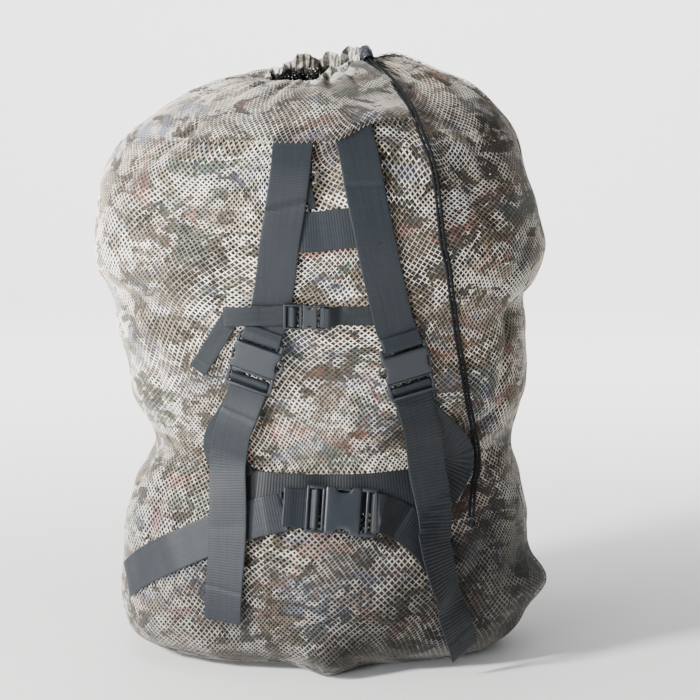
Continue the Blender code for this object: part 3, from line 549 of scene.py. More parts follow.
def printed_net(name, ground, prints, roughness):
    """Camouflage print on knitted thread: blotches of each colour laid over the ground colour, then fine
    mottling of the yarn and painted shade, a broad cloudy darkening from
    noise + 1.8 |z - 0.5| + max(x, 0)."""
    made, tree, surface = shader(name, roughness, Sheen_Weight=0.25, Sheen_Roughness=0.5)
    place = tree.nodes.new("ShaderNodeTexCoord").outputs["Object"]
    colour = ground
    for seed, (scale, detail, low, high, tint) in enumerate(prints):
        colour = mixed(tree, blotch(tree, place, scale, detail, low, high, 1.7 * seed + 0.4), colour, tint)
    split = added(tree, "ShaderNodeSeparateXYZ", {0: place})
    rightwards = arithmetic(tree, "MAXIMUM", split.outputs["X"], 0.0)
    cloud = arithmetic(tree, "ADD", noise(tree, place, 4.6, 4.0), rightwards)
    off_middle = arithmetic(tree, "ABSOLUTE", arithmetic(tree, "SUBTRACT", split.outputs["Z"], 0.5))
    # Painted shade: the colour is made darker towards the right and the bottom, and less towards the top.
    painted_shade = mapped(tree, arithmetic(tree, "MULTIPLY_ADD", off_middle, 1.8, cloud), 0.71, 1.41, 1.25, 0.14)
    yarn = noise(tree, place, 420.0, 3.0)
    tone = mapped(tree, yarn, 0.3, 0.7, 0.72, 1.22)
    shade = arithmetic(tree, "MULTIPLY", tone, painted_shade)
    filled(tree, surface, {"Base Color": mixed(tree, 1.0, colour, shade, "MULTIPLY")})
    bumped(tree, surface, yarn, 0.5, 0.0004)
    return made


outer_print = printed_net(
    "printed_mesh",
    (0.86, 0.79, 0.67),
    (
        (13.0, 6.0, 0.48, 0.55, (0.370, 0.305, 0.225)),
        (5.2, 6.0, 0.53, 0.62, (0.225, 0.180, 0.125)),
        (21.0, 6.0, 0.52, 0.57, (0.085, 0.068, 0.048)),
        (7.0, 6.0, 0.56, 0.64, (0.130, 0.145, 0.118)),
        (7.5, 6.0, 0.59, 0.70, (0.50, 0.27, 0.22)),
        (8.0, 5.0, 0.56, 0.65, (0.30, 0.32, 0.385)),
        (24.0, 6.0, 0.54, 0.60, (0.86, 0.82, 0.74)),
    ),
    0.82,
)
# The inner layer's print is near-black: painted shade for the shadowed inside of the bag.
painted_shade_back_print = printed_net(
    "mesh_back_layer_painted_shade",
    (0.040, 0.034, 0.026),
    (
        (12.0, 5.0, 0.48, 0.56, (0.012, 0.011, 0.009)),
        (10.0, 5.0, 0.55, 0.62, (0.024, 0.042, 0.037)),
        (9.0, 5.0, 0.57, 0.64, (0.105, 0.032, 0.026)),
        (9.0, 5.0, 0.55, 0.63, (0.038, 0.042, 0.066)),
    ),
    0.9,
)


def body_openness(angle, walked):
    """Hole sizes vary in broad patches of waves in x, y and height, and close up near the base."""
    level = np.interp(walked, lower_face.walked, lower_face.levels)
    angle, level = np.broadcast_arrays(angle, level)
    point = lower_face.read(lower_face.points, angle, level)
    x, y, height = np.moveaxis(point, -1, 0)
    patches = 0.5 + 0.5 * np.sin(x / 41 + 2 * np.sin(height / 53)) * np.sin(height / 37 + (x + y) / 60)
    return (0.82 + 0.22 * patches) * (0.8 + 0.2 * ease(level / 2))


def neck_openness(angle, walked):
    """Wide all the way up, and widest along the lip, where the cloth is stretched over the straps."""
    share = walked / upper_face.walked[-1]
    return np.broadcast_to(1.06 - 0.08 * ease(share * 5), np.broadcast(angle, walked).shape)


body_rows = int(lower_face.walked[-1] / CELL_ROW)
neck_rows = int(upper_face.walked[-1] / CELL_ROW)
neck_row = upper_face.walked[-1] / (neck_rows + 1)
net_pieces = []
BODY_BANDS = 3
for band in range(BODY_BANDS):
    first = 1 + (body_rows - 1) * band // BODY_BANDS
    last = 1 + (body_rows - 1) * (band + 1) // BODY_BANDS
    points, faces = net_cells(lower_face, first, last, CELLS_ROUND, CELL_ROW, body_openness, THREAD_RISE)
    net_pieces.append(mesh_piece(("net_low", "net_middle", "net_high")[band], points, faces, outer_print))
points, faces = net_cells(upper_face, 1, neck_rows + 1, CELLS_ROUND, neck_row, neck_openness, THREAD_RISE)
net_pieces.append(mesh_piece("net_neck", points, faces, outer_print))
for piece in net_pieces:
    stand_for(piece, "net_bag")

# Behind the net an inner layer with nearly closed holes stands for the dark inside and the far net: a
# near-black layer of painted shade.
BACK_ROW = 5.0
BACK_CELLS_ROUND = 120
BACK_OPENNESS = 0.2
BACK_RISE = 0.3
BACK_BEHIND = 3.2


def back_openness(angle, walked):
    """The same small share everywhere."""
    return np.full(np.broadcast(angle, walked).shape, BACK_OPENNESS)


for name, face in (("net_back_layer", lower_face), ("net_neck_back_layer", upper_face)):
    last = int(face.walked[-1] / BACK_ROW)
    knit = (BACK_CELLS_ROUND, BACK_ROW, back_openness, BACK_RISE, BACK_BEHIND)
    points, faces = net_cells(face, 1, last, *knit)
    back_layer = mesh_piece(name, points, faces, painted_shade_back_print)
    stand_for(back_layer, "net_bag")


def base_sheet():
    """The sewn-shut bottom: rings of the base outline drawn in to the middle, at a share from 1 to 0.02."""
    angles = np.linspace(0, 2 * math.pi, 120, endpoint=False)
    edge = lower_face.at(angles, np.full(len(angles), 0.12), -0.5)
    share = np.linspace(1.0, 0.02, 24)[:, None, None]
    centre = np.array([0.0, 20.0, 0.0])
    points = centre + (edge[None] - centre) * share
    points[..., 2] = 0.4 + 0.8 * (1 - share[..., 0])
    points[0, :, 2] = edge[:, 2]
    return points.reshape(-1, 3), grid_faces(len(share), len(angles))


points, faces = base_sheet()
base = mesh_piece("net_base", points, faces, outer_print)
stand_for(base, "net_bag")

# The mouth's hem: the net's edge turned down over the drawcord and sewn, so that it stands up in ruffles when
# the cord is drawn, higher along the far side.
HEM_ROUND = 480
HEM_SECTION = 18
HEM_HEIGHT = 5.6
MOUTH_MIDDLE = (-8.0, 1.0, 0.0)
RUFFLES = (
    # x, half width, height: where the far side of the hem stands up between its gathers
    (-25, 15, 9.5),
    (9, 10, 11.0),
    (37, 13, 9.0),
)


def hem_ruffle():
    """A folded band round the mouth. It rises from the hem by a base height, on the far side with a bell
    curve for each ruffle, and more evenly on the near side. Its section is a flat loop, and waves round the
    mouth sway it in and out, more towards the top."""
    angles = np.linspace(0, 2 * math.pi, HEM_ROUND, endpoint=False)[:, None]
    edge = upper_face.at(angles[:, 0], np.full(HEM_ROUND, MOUTH_LEVEL), 0.0)[:, None]
    outward = unit((edge - MOUTH_MIDDLE) * (1, 1, 0))
    x = edge[..., 0]
    far = ease((edge[..., 1] + 3) / 12)
    far_height = sum(peak * np.exp(-(((x - middle) / wide) ** 4)) for middle, wide, peak in RUFFLES)
    near_height = 2.0 + 7.5 * ease((28 - x) / 22)
    sweep = np.linspace(0, 2 * math.pi, HEM_SECTION, endpoint=False)[None, :]
    tall = HEM_HEIGHT + (1 - far) * near_height + far * far_height
    tall = tall + 0.5 * np.sin(21 * angles) + 0.3 * np.sin(43 * angles + 1)
    up = 0.5 - 0.5 * np.cos(sweep)
    sway = (0.8 + 2.2 * far) * np.sin(13 * angles + 1.4 * np.sin(3 * angles)) + 0.5 * np.sin(37 * angles)
    belly = 2.3 + 0.6 * np.sin(19 * angles + 0.6)
    out = sway * up + belly * np.sin(sweep) * (1 - 0.3 * up)
    out = out + 0.4 * np.sin(9 * up * math.pi / 2 + 17 * angles)
    rise = (tall + 4.0) * up - 6.0
    points = edge + outward * out[..., None] + np.array([0, 0, 1.0]) * rise[..., None]
    return points.reshape(-1, 3), grid_faces(HEM_ROUND, HEM_SECTION, closed=True)


hem_print = printed_net(
    "printed_hem",
    (0.74, 0.71, 0.64),
    (
        (16.0, 3.0, 0.50, 0.60, (0.31, 0.28, 0.215)),
        (22.0, 3.0, 0.55, 0.62, (0.14, 0.13, 0.10)),
        (18.0, 3.0, 0.60, 0.68, (0.42, 0.27, 0.25)),
        (14.0, 3.0, 0.52, 0.62, (0.84, 0.84, 0.82)),
    ),
    0.85,
)
points, faces = hem_ruffle()
hem = mesh_piece("mouth_hem", points, faces, hem_print)
stand_for(hem, "mouth_casing")

# The harness webbing: flat woven polypropylene, 50 mm wide on the straps, bands and belt and 25 mm across the
# chest. It has fine ribs across, a firm edge, and is sewn down on the net or through the buckles' bars.
WIDE_WEBBING = 50.0
NARROW_WEBBING = 25.0
TAB_WEBBING = 10.0
WEBBING_THICK = 1.5
SEATED = 1.5
BAR = 4.0
SLOT = 6.0
BAR_HALF = 2.3
LOOP_RADIUS = math.hypot(BAR / 2, BAR_HALF) + 0.6 + WEBBING_THICK / 2

FINE_LEVELS = np.linspace(0, MOUTH_LEVEL, 600)
FINE_HEIGHTS = through(BAG_SECTIONS, FINE_LEVELS)[:, 0]


def on_bag(angle, height):
    """Outer face of the net at an angle and a height below the lip, with its outward normal."""
    level = np.interp(height, FINE_HEIGHTS, FINE_LEVELS)

    def broad(turn=0.0, rise=0.0):
        return bag_point(angle + turn, level + rise, above_lip=0.0, fine=0.0)

    round_way, up_way = broad(turn=0.08) - broad(turn=-0.08), broad(rise=0.5) - broad(rise=-0.5)
    return broad(), unit(np.cross(round_way, up_way))


def front_angle(x, height):
    """The angle at which the harness side of the bag has the given x."""
    level = np.interp(height, FINE_HEIGHTS, FINE_LEVELS)
    _, left, right, _, _, square = np.moveaxis(through(BAG_SECTIONS, level), -1, 0)
    share = np.clip(np.abs(x) / np.where(x > 0, right, left), 0, 1) ** (square / 2)
    return 2 * math.pi - np.arccos(np.sign(x) * share)


def on_front(x, height):
    """The same as on_bag, for an x on the harness side."""
    return on_bag(front_angle(x, height), height)


def coarse_tree():
    """A search tree of every third point of the lower net, for seating what lies on it."""
    grid = lower_face.points[::3, ::3]
    quads = grid_faces(*grid.shape[:2])
    return BVHTree.FromPolygons([Vector(p) for p in grid.reshape(-1, 3)], [tuple(q) for q in quads.tolist()])


net_tree = coarse_tree()


def net_distance(point):
    """Distance to the net, below 0 inside it."""
    nearest, normal, _, _ = net_tree.find_nearest(Vector(point))
    away = Vector(point) - nearest
    return away.length if away.dot(normal) > 0 else -away.length


def seated(centres, across, normals, half_width):
    """Moves stations out along their normals until their inner face is clear of the net."""
    moved = centres.copy()
    for _ in range(3):
        need = np.zeros(len(moved))
        for index, (centre, side, normal) in enumerate(zip(moved, across, normals)):
            for share in (-1, -0.6, -0.2, 0.2, 0.6, 1):
                inner = centre + side * half_width * share - normal * WEBBING_THICK / 2
                need[index] = max(need[index], SEATED - net_distance(inner))
        spread = np.maximum(need, 0.7 * np.maximum(np.roll(need, 1), np.roll(need, -1)))
        spread[0], spread[-1] = need[0], need[-1]
        moved += normals * spread[:, None]
    return moved


def resampled(points, spacing):
    """Row positions that are about SPACING apart along the smooth curve through the points."""
    fine = np.linspace(0, len(points) - 1, 60 * len(points))
    curve = through(points, fine)[:, :3]
    walked = walked_along(curve)
    count = max(2, int(round(walked[-1] / spacing)) + 1)
    return np.interp(np.linspace(0, walked[-1], count), walked, fine)


def laid(rows, spacing=9.0, hanging=False, by_angle=False):
    """Centre points and outward normals of a route on the net: rows of x, height and lift on the harness
    side, or of angle in degrees, height and lift where BY_ANGLE is set. A hanging one has level normals."""
    rows = np.array(rows, float)

    def at_rows(first, height):
        return on_bag(np.radians(first), height) if by_angle else on_front(first, height)

    points, _ = at_rows(rows[:, 0], rows[:, 1])
    first, height, lift = through(rows, resampled(points, spacing)).T
    points, normals = at_rows(first, height)
    if hanging:
        normals = unit(normals * (1, 1, 0))
    return points + normals * (lift + WEBBING_THICK / 2)[:, None], normals


def across_of(centres, normals):
    """The direction across a strap: square to its run and to the outward normal."""
    return unit(np.cross(np.gradient(centres, axis=0), normals))


def stretch_on_net(rows, half_width=None, **how):
    """Centres and directions across of a strap on the net, moved clear of it where HALF_WIDTH is given."""
    centres, normals = laid(rows, **how)
    across = across_of(centres, normals)
    if half_width is not None:
        centres = seated(centres, across, normals, half_width)
    return centres, across


class Place:
    """A buckle's own frame: u across, v along from its first end, w outwards, in millimetres."""

    def __init__(self, start, end, outward, lift):
        self.along = unit(np.subtract(end, start))
        self.across = unit(np.cross(self.along, outward))
        self.out = np.cross(self.across, self.along)
        self.start = np.asarray(start, float) + self.out * lift

    def point(self, u, v, w):
        """The place of (u, v, w) on the bag."""
        u, v, w = np.broadcast_arrays(np.asarray(u, float), v, w)
        return self.start + u[..., None] * self.across + v[..., None] * self.along + w[..., None] * self.out

    def loop(self, v_bar, w_side, turn_to, radius, steps=9):
        """Half circle round a bar, from one side of it to the other by way of TURN_TO (+1 or -1 along v)."""
        sweep = np.linspace(0, math.pi, steps)
        return self.point(0, v_bar + turn_to * radius * np.sin(sweep), w_side * radius * np.cos(sweep))


def buckle_place(start, end, lift):
    """Frame of a buckle between two places on the harness side, each given as x and height."""
    first, normal_a = on_front(*start)
    last, normal_b = on_front(*end)
    return Place(first, last, unit(normal_a + normal_b), lift)


def threaded(place, start, middle, *ends, way=1):
    """Centres and directions across of a whole strap: the stretch START, the points MIDDLE at a buckle, where
    it runs square to the buckle, and perhaps another stretch."""
    middle = np.concatenate([np.atleast_2d(part) for part in middle])
    stretches = [start, (middle, np.repeat([place.across * way], len(middle), 0)), *ends]
    return tuple(np.concatenate(column) for column in zip(*stretches))


EDGE = ((-0.5, 0.0), (-0.497, 0.32), (-0.485, 0.5), (-0.45, 0.56), (-0.22, 0.5), (0.0, 0.5))
UPPER_HALF = EDGE + tuple((-u, w) for u, w in EDGE[-2::-1])
STRAP_PROFILE = UPPER_HALF + tuple((u, -w) for u, w in UPPER_HALF[-2:0:-1])


def point_outwards(made):
    """Turns the faces of a closed mesh outwards, by the sign of its volume."""
    mesh = made.data
    corner = np.empty(len(mesh.vertices) * 3)
    mesh.vertices.foreach_get("co", corner)
    corner = corner.reshape(-1, 3)
    mesh.calc_loop_triangles()
    index = np.empty(len(mesh.loop_triangles) * 3, int)
    mesh.loop_triangles.foreach_get("vertices", index)
    a, b, c = np.moveaxis(corner[index.reshape(-1, 3)], 1, 0)
    if np.sum(a * np.cross(b, c)) < 0:
        mesh.flip_normals()


def closed_piece(name, points, faces, finish, node, uv=None):
    """A closed piece with its faces outwards, in the place of its node."""
    made = mesh_piece(name, points, faces, finish, uv)
    point_outwards(made)
    stand_for(made, node)
    return made


STRAIGHT = ((0, 0), (1000, 0))
EDGE_WAVE = 0.35
CREASE_FADE = 60.0
STATION = 1.8


def strap_piece(centres, across, width, finish, node, creases=(), twist=STRAIGHT, name=None):
    """Webbing: a rounded flat profile carried along a smooth line through the centres, every 1.8 mm, turned
    about that line by the TWIST in degrees that is stated for heights. A crease lowers the strap beyond a
    slanted line by drop times a tanh step and dents it there by groove times a bell curve. UV in metres."""
    centres, across = np.asarray(centres, float), unit(across)
    at = resampled(centres, STATION)
    run = through(centres, at)
    side = unit(through(across, at))
    ahead = unit(np.gradient(run, axis=0))
    side = unit(side - ahead * np.sum(side * ahead, axis=1)[:, None])
    face = np.cross(side, ahead)
    turn = np.radians(np.interp(run[:, 2], *zip(*twist)))[:, None]
    side, face = side * np.cos(turn) + face * np.sin(turn), face * np.cos(turn) - side * np.sin(turn)
    walked = walked_along(run)
    profile = np.array(STRAP_PROFILE)
    u = np.broadcast_to(profile[:, 0] * width, (len(run), len(profile)))
    w = profile[:, 1] * WEBBING_THICK
    w = w + EDGE_WAVE * np.sin(walked / 17)[:, None] * np.sin(3 * profile[:, 0] + 0.5)
    for height, slant, drop, groove, sharp in creases:
        crossed = walked[np.flatnonzero(run[:, 2] > height)[-1]]
        beyond = walked[:, None] - crossed - slant * u
        w = w - drop * (0.5 + 0.5 * np.tanh(beyond / sharp)) * np.exp(-np.maximum(beyond, 0) / CREASE_FADE)
        w = w - groove * np.exp(-((beyond / (1.5 * sharp)) ** 2))
    points = run[:, None] + side[:, None] * u[..., None] + face[:, None] * w[..., None]
    stations, ring = points.shape[:2]
    half = np.arange(1, ring // 2)
    caps = np.stack([half, half - 1, (ring - half + 1) % ring, ring - half], -1)
    quads = np.concatenate([grid_faces(stations, ring), caps, (caps + (stations - 1) * ring)[:, ::-1]])
    uv = np.stack([u * MM, np.broadcast_to(walked[:, None] * MM, u.shape)], -1).reshape(-1, 2)
    points = points.reshape(-1, 3)
    made = closed_piece(name or node + "_woven", points, quads, finish, node, uv)


THREAD_PITCH = 0.0021


def woven_webbing(name, base, ribs, relief):
    """Polypropylene webbing: fine ribs across it, thread lines along it and slight streaks. Its UV map holds
    metres."""
    made, tree, surface = shader(name, 0.55, Specular_IOR_Level=0.35)
    run, sideways, along = run_of(tree)
    rib, thread = (
        arithmetic(tree, "SINE", arithmetic(tree, "MULTIPLY", value, 2 * math.pi / pitch))
        for value, pitch in ((along, ribs), (sideways, THREAD_PITCH))
    )
    height = arithmetic(tree, "MULTIPLY_ADD", arithmetic(tree, "MULTIPLY", rib, thread), 0.5, rib)
    bumped(tree, surface, height, relief, 0.0005)
    stretch = added(tree, "ShaderNodeMapping", {"Vector": run, "Scale": (260.0, 14.0, 1.0)})
    streak = mapped(tree, noise(tree, stretch.outputs["Vector"], 1.0, 4.0), 0.25, 0.75)
    tone = mixed(tree, streak, tinted(base, 0.72), tinted(base, 1.3))
    # Painted shade in the rib valleys and painted light on their crests: the colour follows the ribs' relief.
    painted_rib_shade = mapped(tree, height, -1.3, 1.3, 1 - 0.5 * relief, 1 + 0.3 * relief)
    filled(tree, surface, {"Base Color": mixed(tree, 1.0, tone, painted_rib_shade, "MULTIPLY")})
    return made


wide_webbing = woven_webbing("wide_webbing", (0.0088, 0.0125, 0.0170), 0.0034, 0.16)
ribbed_webbing = woven_webbing("ribbed_webbing", (0.0080, 0.0112, 0.0150), 0.0044, 0.42)
# The same webbing made darker: painted shade, used on the waist band in the belt's shadow and on the belt's
# right end.
belt_webbing_painted_shade = woven_webbing("belt_webbing_painted_shade", (0.0048, 0.0068, 0.0092), 0.0038, 0.22)
narrow_webbing = woven_webbing("narrow_webbing", (0.0088, 0.0125, 0.0165), 0.0022, 0.2)

left_place = buckle_place((-73, 448), (-94, 374), lift=9.0)
right_place = buckle_place((98, 440), (114, 366), lift=9.0)
waist_place = buckle_place((69, 216), (-28, 223), lift=12.5)
chest_place = buckle_place((5, 477), (-49, 478), lift=10.6)
SHOULDER_SOCKET = 46.0
WAIST_SOCKET = 66.0
CHEST_SOCKET = 28.0


def ladder_bars(socket_length):
    """Where the plug's three cross bars start and end along a buckle."""
    joint = socket_length + 0.4
    return [(joint + n * (BAR + SLOT), joint + n * (BAR + SLOT) + BAR) for n in range(3)]


CROSSBAND = ((-48, 580, -0.8), (-10, 581, -0.8), (35, 586, -0.8), (70, 590, -0.8))
WAIST_BAND = ((-108, 246, -0.8), (-60, 243, -0.8), (0, 241, -0.8), (60, 242, -0.8), (128, 247, -0.8))
for band, rows, finish in (("crossband", CROSSBAND, wide_webbing), ("waist_band", WAIST_BAND, belt_webbing_painted_shade)):
    strap_piece(*stretch_on_net(rows, WIDE_WEBBING / 2), WIDE_WEBBING, finish, band)

SHOULDER_LEFT = (
    # x, height, lift off the net
    (-34, 701, -0.8),
    (-34.5, 693, -0.6),
    (-35, 685, 2.0),
    (-36, 676, 5.6),
    (-37, 661, 10.0),
    (-39, 643, 10.8),
    (-42, 622, 9.4),
    (-46, 598, 5.8),
    (-52, 562, 4.0),
    (-57, 520, 0.9),
    (-62, 488, 0.9),
    (-66, 470, 2.8),
)
SHOULDER_RIGHT = (
    (39, 696, -0.8),
    (41, 688, -0.8),
    (44, 678, -0.2),
    (47, 667, 1.2),
    (54, 630, 4.0),
    (63, 588, 4.6),
    (71, 550, 4.0),
    (81, 505, 3.4),
    (89, 470, 3.4),
    (92, 459, 3.6),
)
LEFT_SHOULDER_CREASES = (
    # height, slant, drop, groove, sharpness
    (612, 0.42, 2.4, 2.0, 1.5),
    (540, -0.1, 0.0, 0.5, 6.0),
)
RIGHT_SHOULDER_CREASES = (
    (637, -0.17, 1.4, 2.0, 1.5),
    (505, -0.1, 0.5, 0.9, 2.5),
    (560, 0.1, 0.0, 0.5, 7.0),
)


def make_shoulder_strap(name, rows, place, top_slope, creases):
    """From under the lip down behind the socket's bar, round it and back up to a short end in front."""
    centres, normals = laid(rows)
    across = across_of(centres, normals)
    across[0] = unit(across[0] + np.array([0, 0, top_slope]) * np.sign(across[0, 0]))
    across[1] = unit(across[0] + across[2])
    centres = seated(centres, across, normals, WIDE_WEBBING / 2)
    behind = place.point(0, [-10.0, -4.0], [-LOOP_RADIUS, -LOOP_RADIUS])
    turn = place.loop(BAR / 2, -1, 1, LOOP_RADIUS)
    front = place.point(0, [-3.0, -8.0, -13.0], [LOOP_RADIUS - 0.6, 1.2, -LOOP_RADIUS + 2.6])
    run, sideways = threaded(place, (centres, across), (behind, turn, front))
    strap_piece(run, sideways, WIDE_WEBBING, wide_webbing, name, creases)


make_shoulder_strap("shoulder_strap_left", SHOULDER_LEFT, left_place, 0.0, LEFT_SHOULDER_CREASES)
make_shoulder_strap("shoulder_strap_right", SHOULDER_RIGHT, right_place, 0.14, RIGHT_SHOULDER_CREASES)

LEFT_FIXED_RUN = (
    (-98, 358, 4.0),
    (-110, 338, 6.5),
    (-124, 314, 7.5),
    (-126, 292, 6.5),
    (-117, 272, 4.0),
    (-108, 254, 3.2),
)
LEFT_TAIL = (
    (-99, 350, 12),
    (-103, 338, 16),
    (-109, 318, 18),
    (-116, 280, 15),
    (-117, 235, 13),
    (-118, 180, 10),
    (-122, 125, 7),
    (-125, 78, 8),
)
RIGHT_FIXED_RUN = (
    (117, 352, 4.0),
    (132, 334, 7.0),
    (154, 310, 9.0),
    (168, 286, 9.0),
    (163, 260, 6.5),
    (148, 238, 4.0),
)
RIGHT_TAIL = (
    (118, 342, 12),
    (123, 318, 17),
    (130, 268, 17),
    (139, 224, 16),
    (142, 176, 15),
    (151, 132, 13),
    (165, 82, 13),
    (172, 50, 18),
    (173, 31, 26),
)
LEFT_TAIL_CREASES = (
    # height, slant, drop, groove, sharpness; the last one is the end's hem, turned up and sewn
    (345, 0.06, 0.8, 1.2, 2.0),
    (292, -0.1, 0.0, 0.6, 5.0),
    (200, 0.1, 0.0, 0.5, 5.0),
    (119, -0.14, -0.5, 0.9, 1.2),
)
RIGHT_TAIL_CREASES = (
    (216, 1.0, 4.5, 0.6, 1.6),
    (300, -0.1, 0.0, 0.6, 5.0),
    (55, 0.1, -0.5, 0.9, 1.2),
)
RIGHT_TAIL_TWIST = ((60, 16), (110, 24), (180, 24), (232, 0), (1000, 0))


def under_the_last_bar(place, bars):
    """Where webbing that came up behind a ladder turns over its middle bar and dives behind the last bar."""
    middle, (last, end) = sum(bars[1]) / 2, bars[2]
    sunk = [-LOOP_RADIUS - 2.4, -LOOP_RADIUS - 2.2, -LOOP_RADIUS - 1.0]
    dive = [2.2, -2.0, -LOOP_RADIUS, -LOOP_RADIUS + 0.4]
    behind = place.point(0, [end + 7, end, last - 2], sunk)
    front = place.point(0, [middle + 3.6, last - 0.6, end - 1.0, end + 4], dive)
    return behind, place.loop(middle, -1, -1, LOOP_RADIUS), front


def round_the_socket_bar(place, first, last):
    """From in front over the socket's bar and back behind it, between two places along the buckle."""
    front = place.point(0, [first, -1.0], [LOOP_RADIUS - 0.6, LOOP_RADIUS])
    turn = place.loop(BAR / 2, 1, 1, LOOP_RADIUS)
    behind = place.point(0, [-1.0, last], [-LOOP_RADIUS, -LOOP_RADIUS + 0.6])
    return front, turn, behind


def make_adjusting_strap(name, fixed, tail, place, finish, creases, twist=STRAIGHT):
    """From the sewn end up behind the buckle, over the ladder's middle bar, behind its last bar and down in
    front as the tail."""
    up, up_across = stretch_on_net(fixed, WIDE_WEBBING / 2)
    over = under_the_last_bar(place, ladder_bars(SHOULDER_SOCKET))
    down = stretch_on_net(tail, hanging=True)
    run, sideways = threaded(place, (up[::-1], up_across[::-1]), over, down)
    strap_piece(run, sideways, WIDE_WEBBING, finish, name, creases, twist)


make_adjusting_strap(
    "adjusting_strap_left", LEFT_FIXED_RUN, LEFT_TAIL, left_place, wide_webbing, LEFT_TAIL_CREASES
)
make_adjusting_strap(
    "adjusting_strap_right", RIGHT_FIXED_RUN, RIGHT_TAIL, right_place, ribbed_webbing, RIGHT_TAIL_CREASES,
    RIGHT_TAIL_TWIST,
)

BELT_LEFT = (
    # angle deg, height, lift off the net
    (201.0, 106, -0.8),
    (208.0, 121, -0.8),
    (216.0, 137, -0.8),
    (230.0, 163, -0.8),
    (241.0, 184, 3.0),
    (253.0, 207, 4.5),
    (258.5, 214, 6.0),
)
BELT_RIGHT = ((150, 150, -0.8), (138, 172, 3.0), (117, 193, 4.5), (98, 206, 5.5))


def make_waist_belts():
    """The belt's two ends: one from the left side seam to the ladder, one from the socket to the right."""
    bars = ladder_bars(WAIST_SOCKET)
    end = bars[2][1]
    front = waist_place.point(0, [end + 12, end + 21, end + 29], [-LOOP_RADIUS + 1.6, -0.6, 0.4])
    far = stretch_on_net(BELT_LEFT, WIDE_WEBBING / 2, by_angle=True)
    run, sideways = threaded(waist_place, far, (*under_the_last_bar(waist_place, bars), front))
    strap_piece(run, sideways, WIDE_WEBBING, wide_webbing, "waist_belt_left")
    near = stretch_on_net(BELT_RIGHT, WIDE_WEBBING / 2)
    run, sideways = threaded(waist_place, near, round_the_socket_bar(waist_place, -8.0, -7.0))
    strap_piece(run, sideways, WIDE_WEBBING, belt_webbing_painted_shade, "waist_belt_right")


make_waist_belts()

CHEST_FIXED_RUN = ((-84, 477, 4.6), (-74, 477, 4.8), (-64, 477, 5.0))
CHEST_TAIL = (
    # x, height, lift off the net: it turns behind itself at its left end
    (-74, 477, 7.6),
    (-84, 477, 9.0),
    (-102, 476.5, 9.8),
    (-115, 476, 9.6),
    (-120.5, 475.5, 8.4),
    (-121.5, 475.2, 6.6),
    (-119.5, 475, 5.2),
    (-112, 475, 4.8),
)
CHEST_TAIL_END = (
    (-113, 473, 2.6),
    (-119, 463, 3.0),
    (-128, 448, 3.4),
    (-138, 431, 3.2),
    (-148, 415, 3.0),
    (-156, 402, 4.0),
)
CHEST_TAIL_CREASES = ((412, 0.1, -0.5, 0.8, 1.0),)
CHEST_RIGHT = ((78, 476, -0.8), (62, 476, -0.8), (42, 476, 1.2), (22, 477, 3.6))


def make_chest_straps():
    """Narrow webbing: sewn to the left shoulder strap, over the ladder and out as the folded tail."""
    bars = ladder_bars(CHEST_SOCKET)
    tail, _ = laid(CHEST_TAIL, 3.0)
    middle, (last, end) = sum(bars[1]) / 2, bars[2]
    behind = chest_place.point(0, [end, last - 1], [-LOOP_RADIUS - 1.8, -LOOP_RADIUS - 1.0])
    turn = chest_place.loop(middle, -1, -1, LOOP_RADIUS)
    front = chest_place.point(0, [middle + 3.6, last - 0.6, end - 1.0], [2.2, -2.0, -LOOP_RADIUS + 0.6])
    run, sideways = threaded(chest_place, stretch_on_net(CHEST_FIXED_RUN), (behind, turn, front, tail))
    strap_piece(run, sideways, NARROW_WEBBING, narrow_webbing, "chest_strap_left")
    strap_piece(
        *stretch_on_net(CHEST_TAIL_END, spacing=6.0), NARROW_WEBBING - 1, narrow_webbing, "chest_strap_left",
        CHEST_TAIL_CREASES, name="chest_tail_end_woven",
    )
    near = stretch_on_net(CHEST_RIGHT, NARROW_WEBBING / 2)
    run, sideways = threaded(chest_place, near, round_the_socket_bar(chest_place, -6.0, -9.0))
    strap_piece(run, sideways, NARROW_WEBBING, narrow_webbing, "chest_strap_right")


make_chest_straps()

# The hanging loop: a narrow tab from under the lip, a small plated wire ring, and a second tab that holds
# the ring to the crossband.
HANG_TAB = ((-17, 687, 0.9), (-17, 679, 1.6), (-17, 671, 3.6))
RING_TAB = ((-11, 608.8, 0.9), (-12, 614, 1.6), (-13, 621, 3.6))
RING_CENTRE = (-16, 646, 5.6)
RING_HALF_WIDTH = 9.0
RING_HALF_HEIGHT = 7.0
RING_CORNER = 2.5
RING_WIRE = 1.4
TAB_LOOP = RING_WIRE + 0.6 + WEBBING_THICK / 2


def tube_faces(count, sides):
    """Faces of a tube of COUNT rings, with strips across both ends."""
    caps = np.array([[k - 1, k, sides - k - 1, sides - k] for k in range(1, sides // 2)])
    return np.concatenate([grid_faces(count, sides), caps[:, ::-1], caps + (count - 1) * sides])


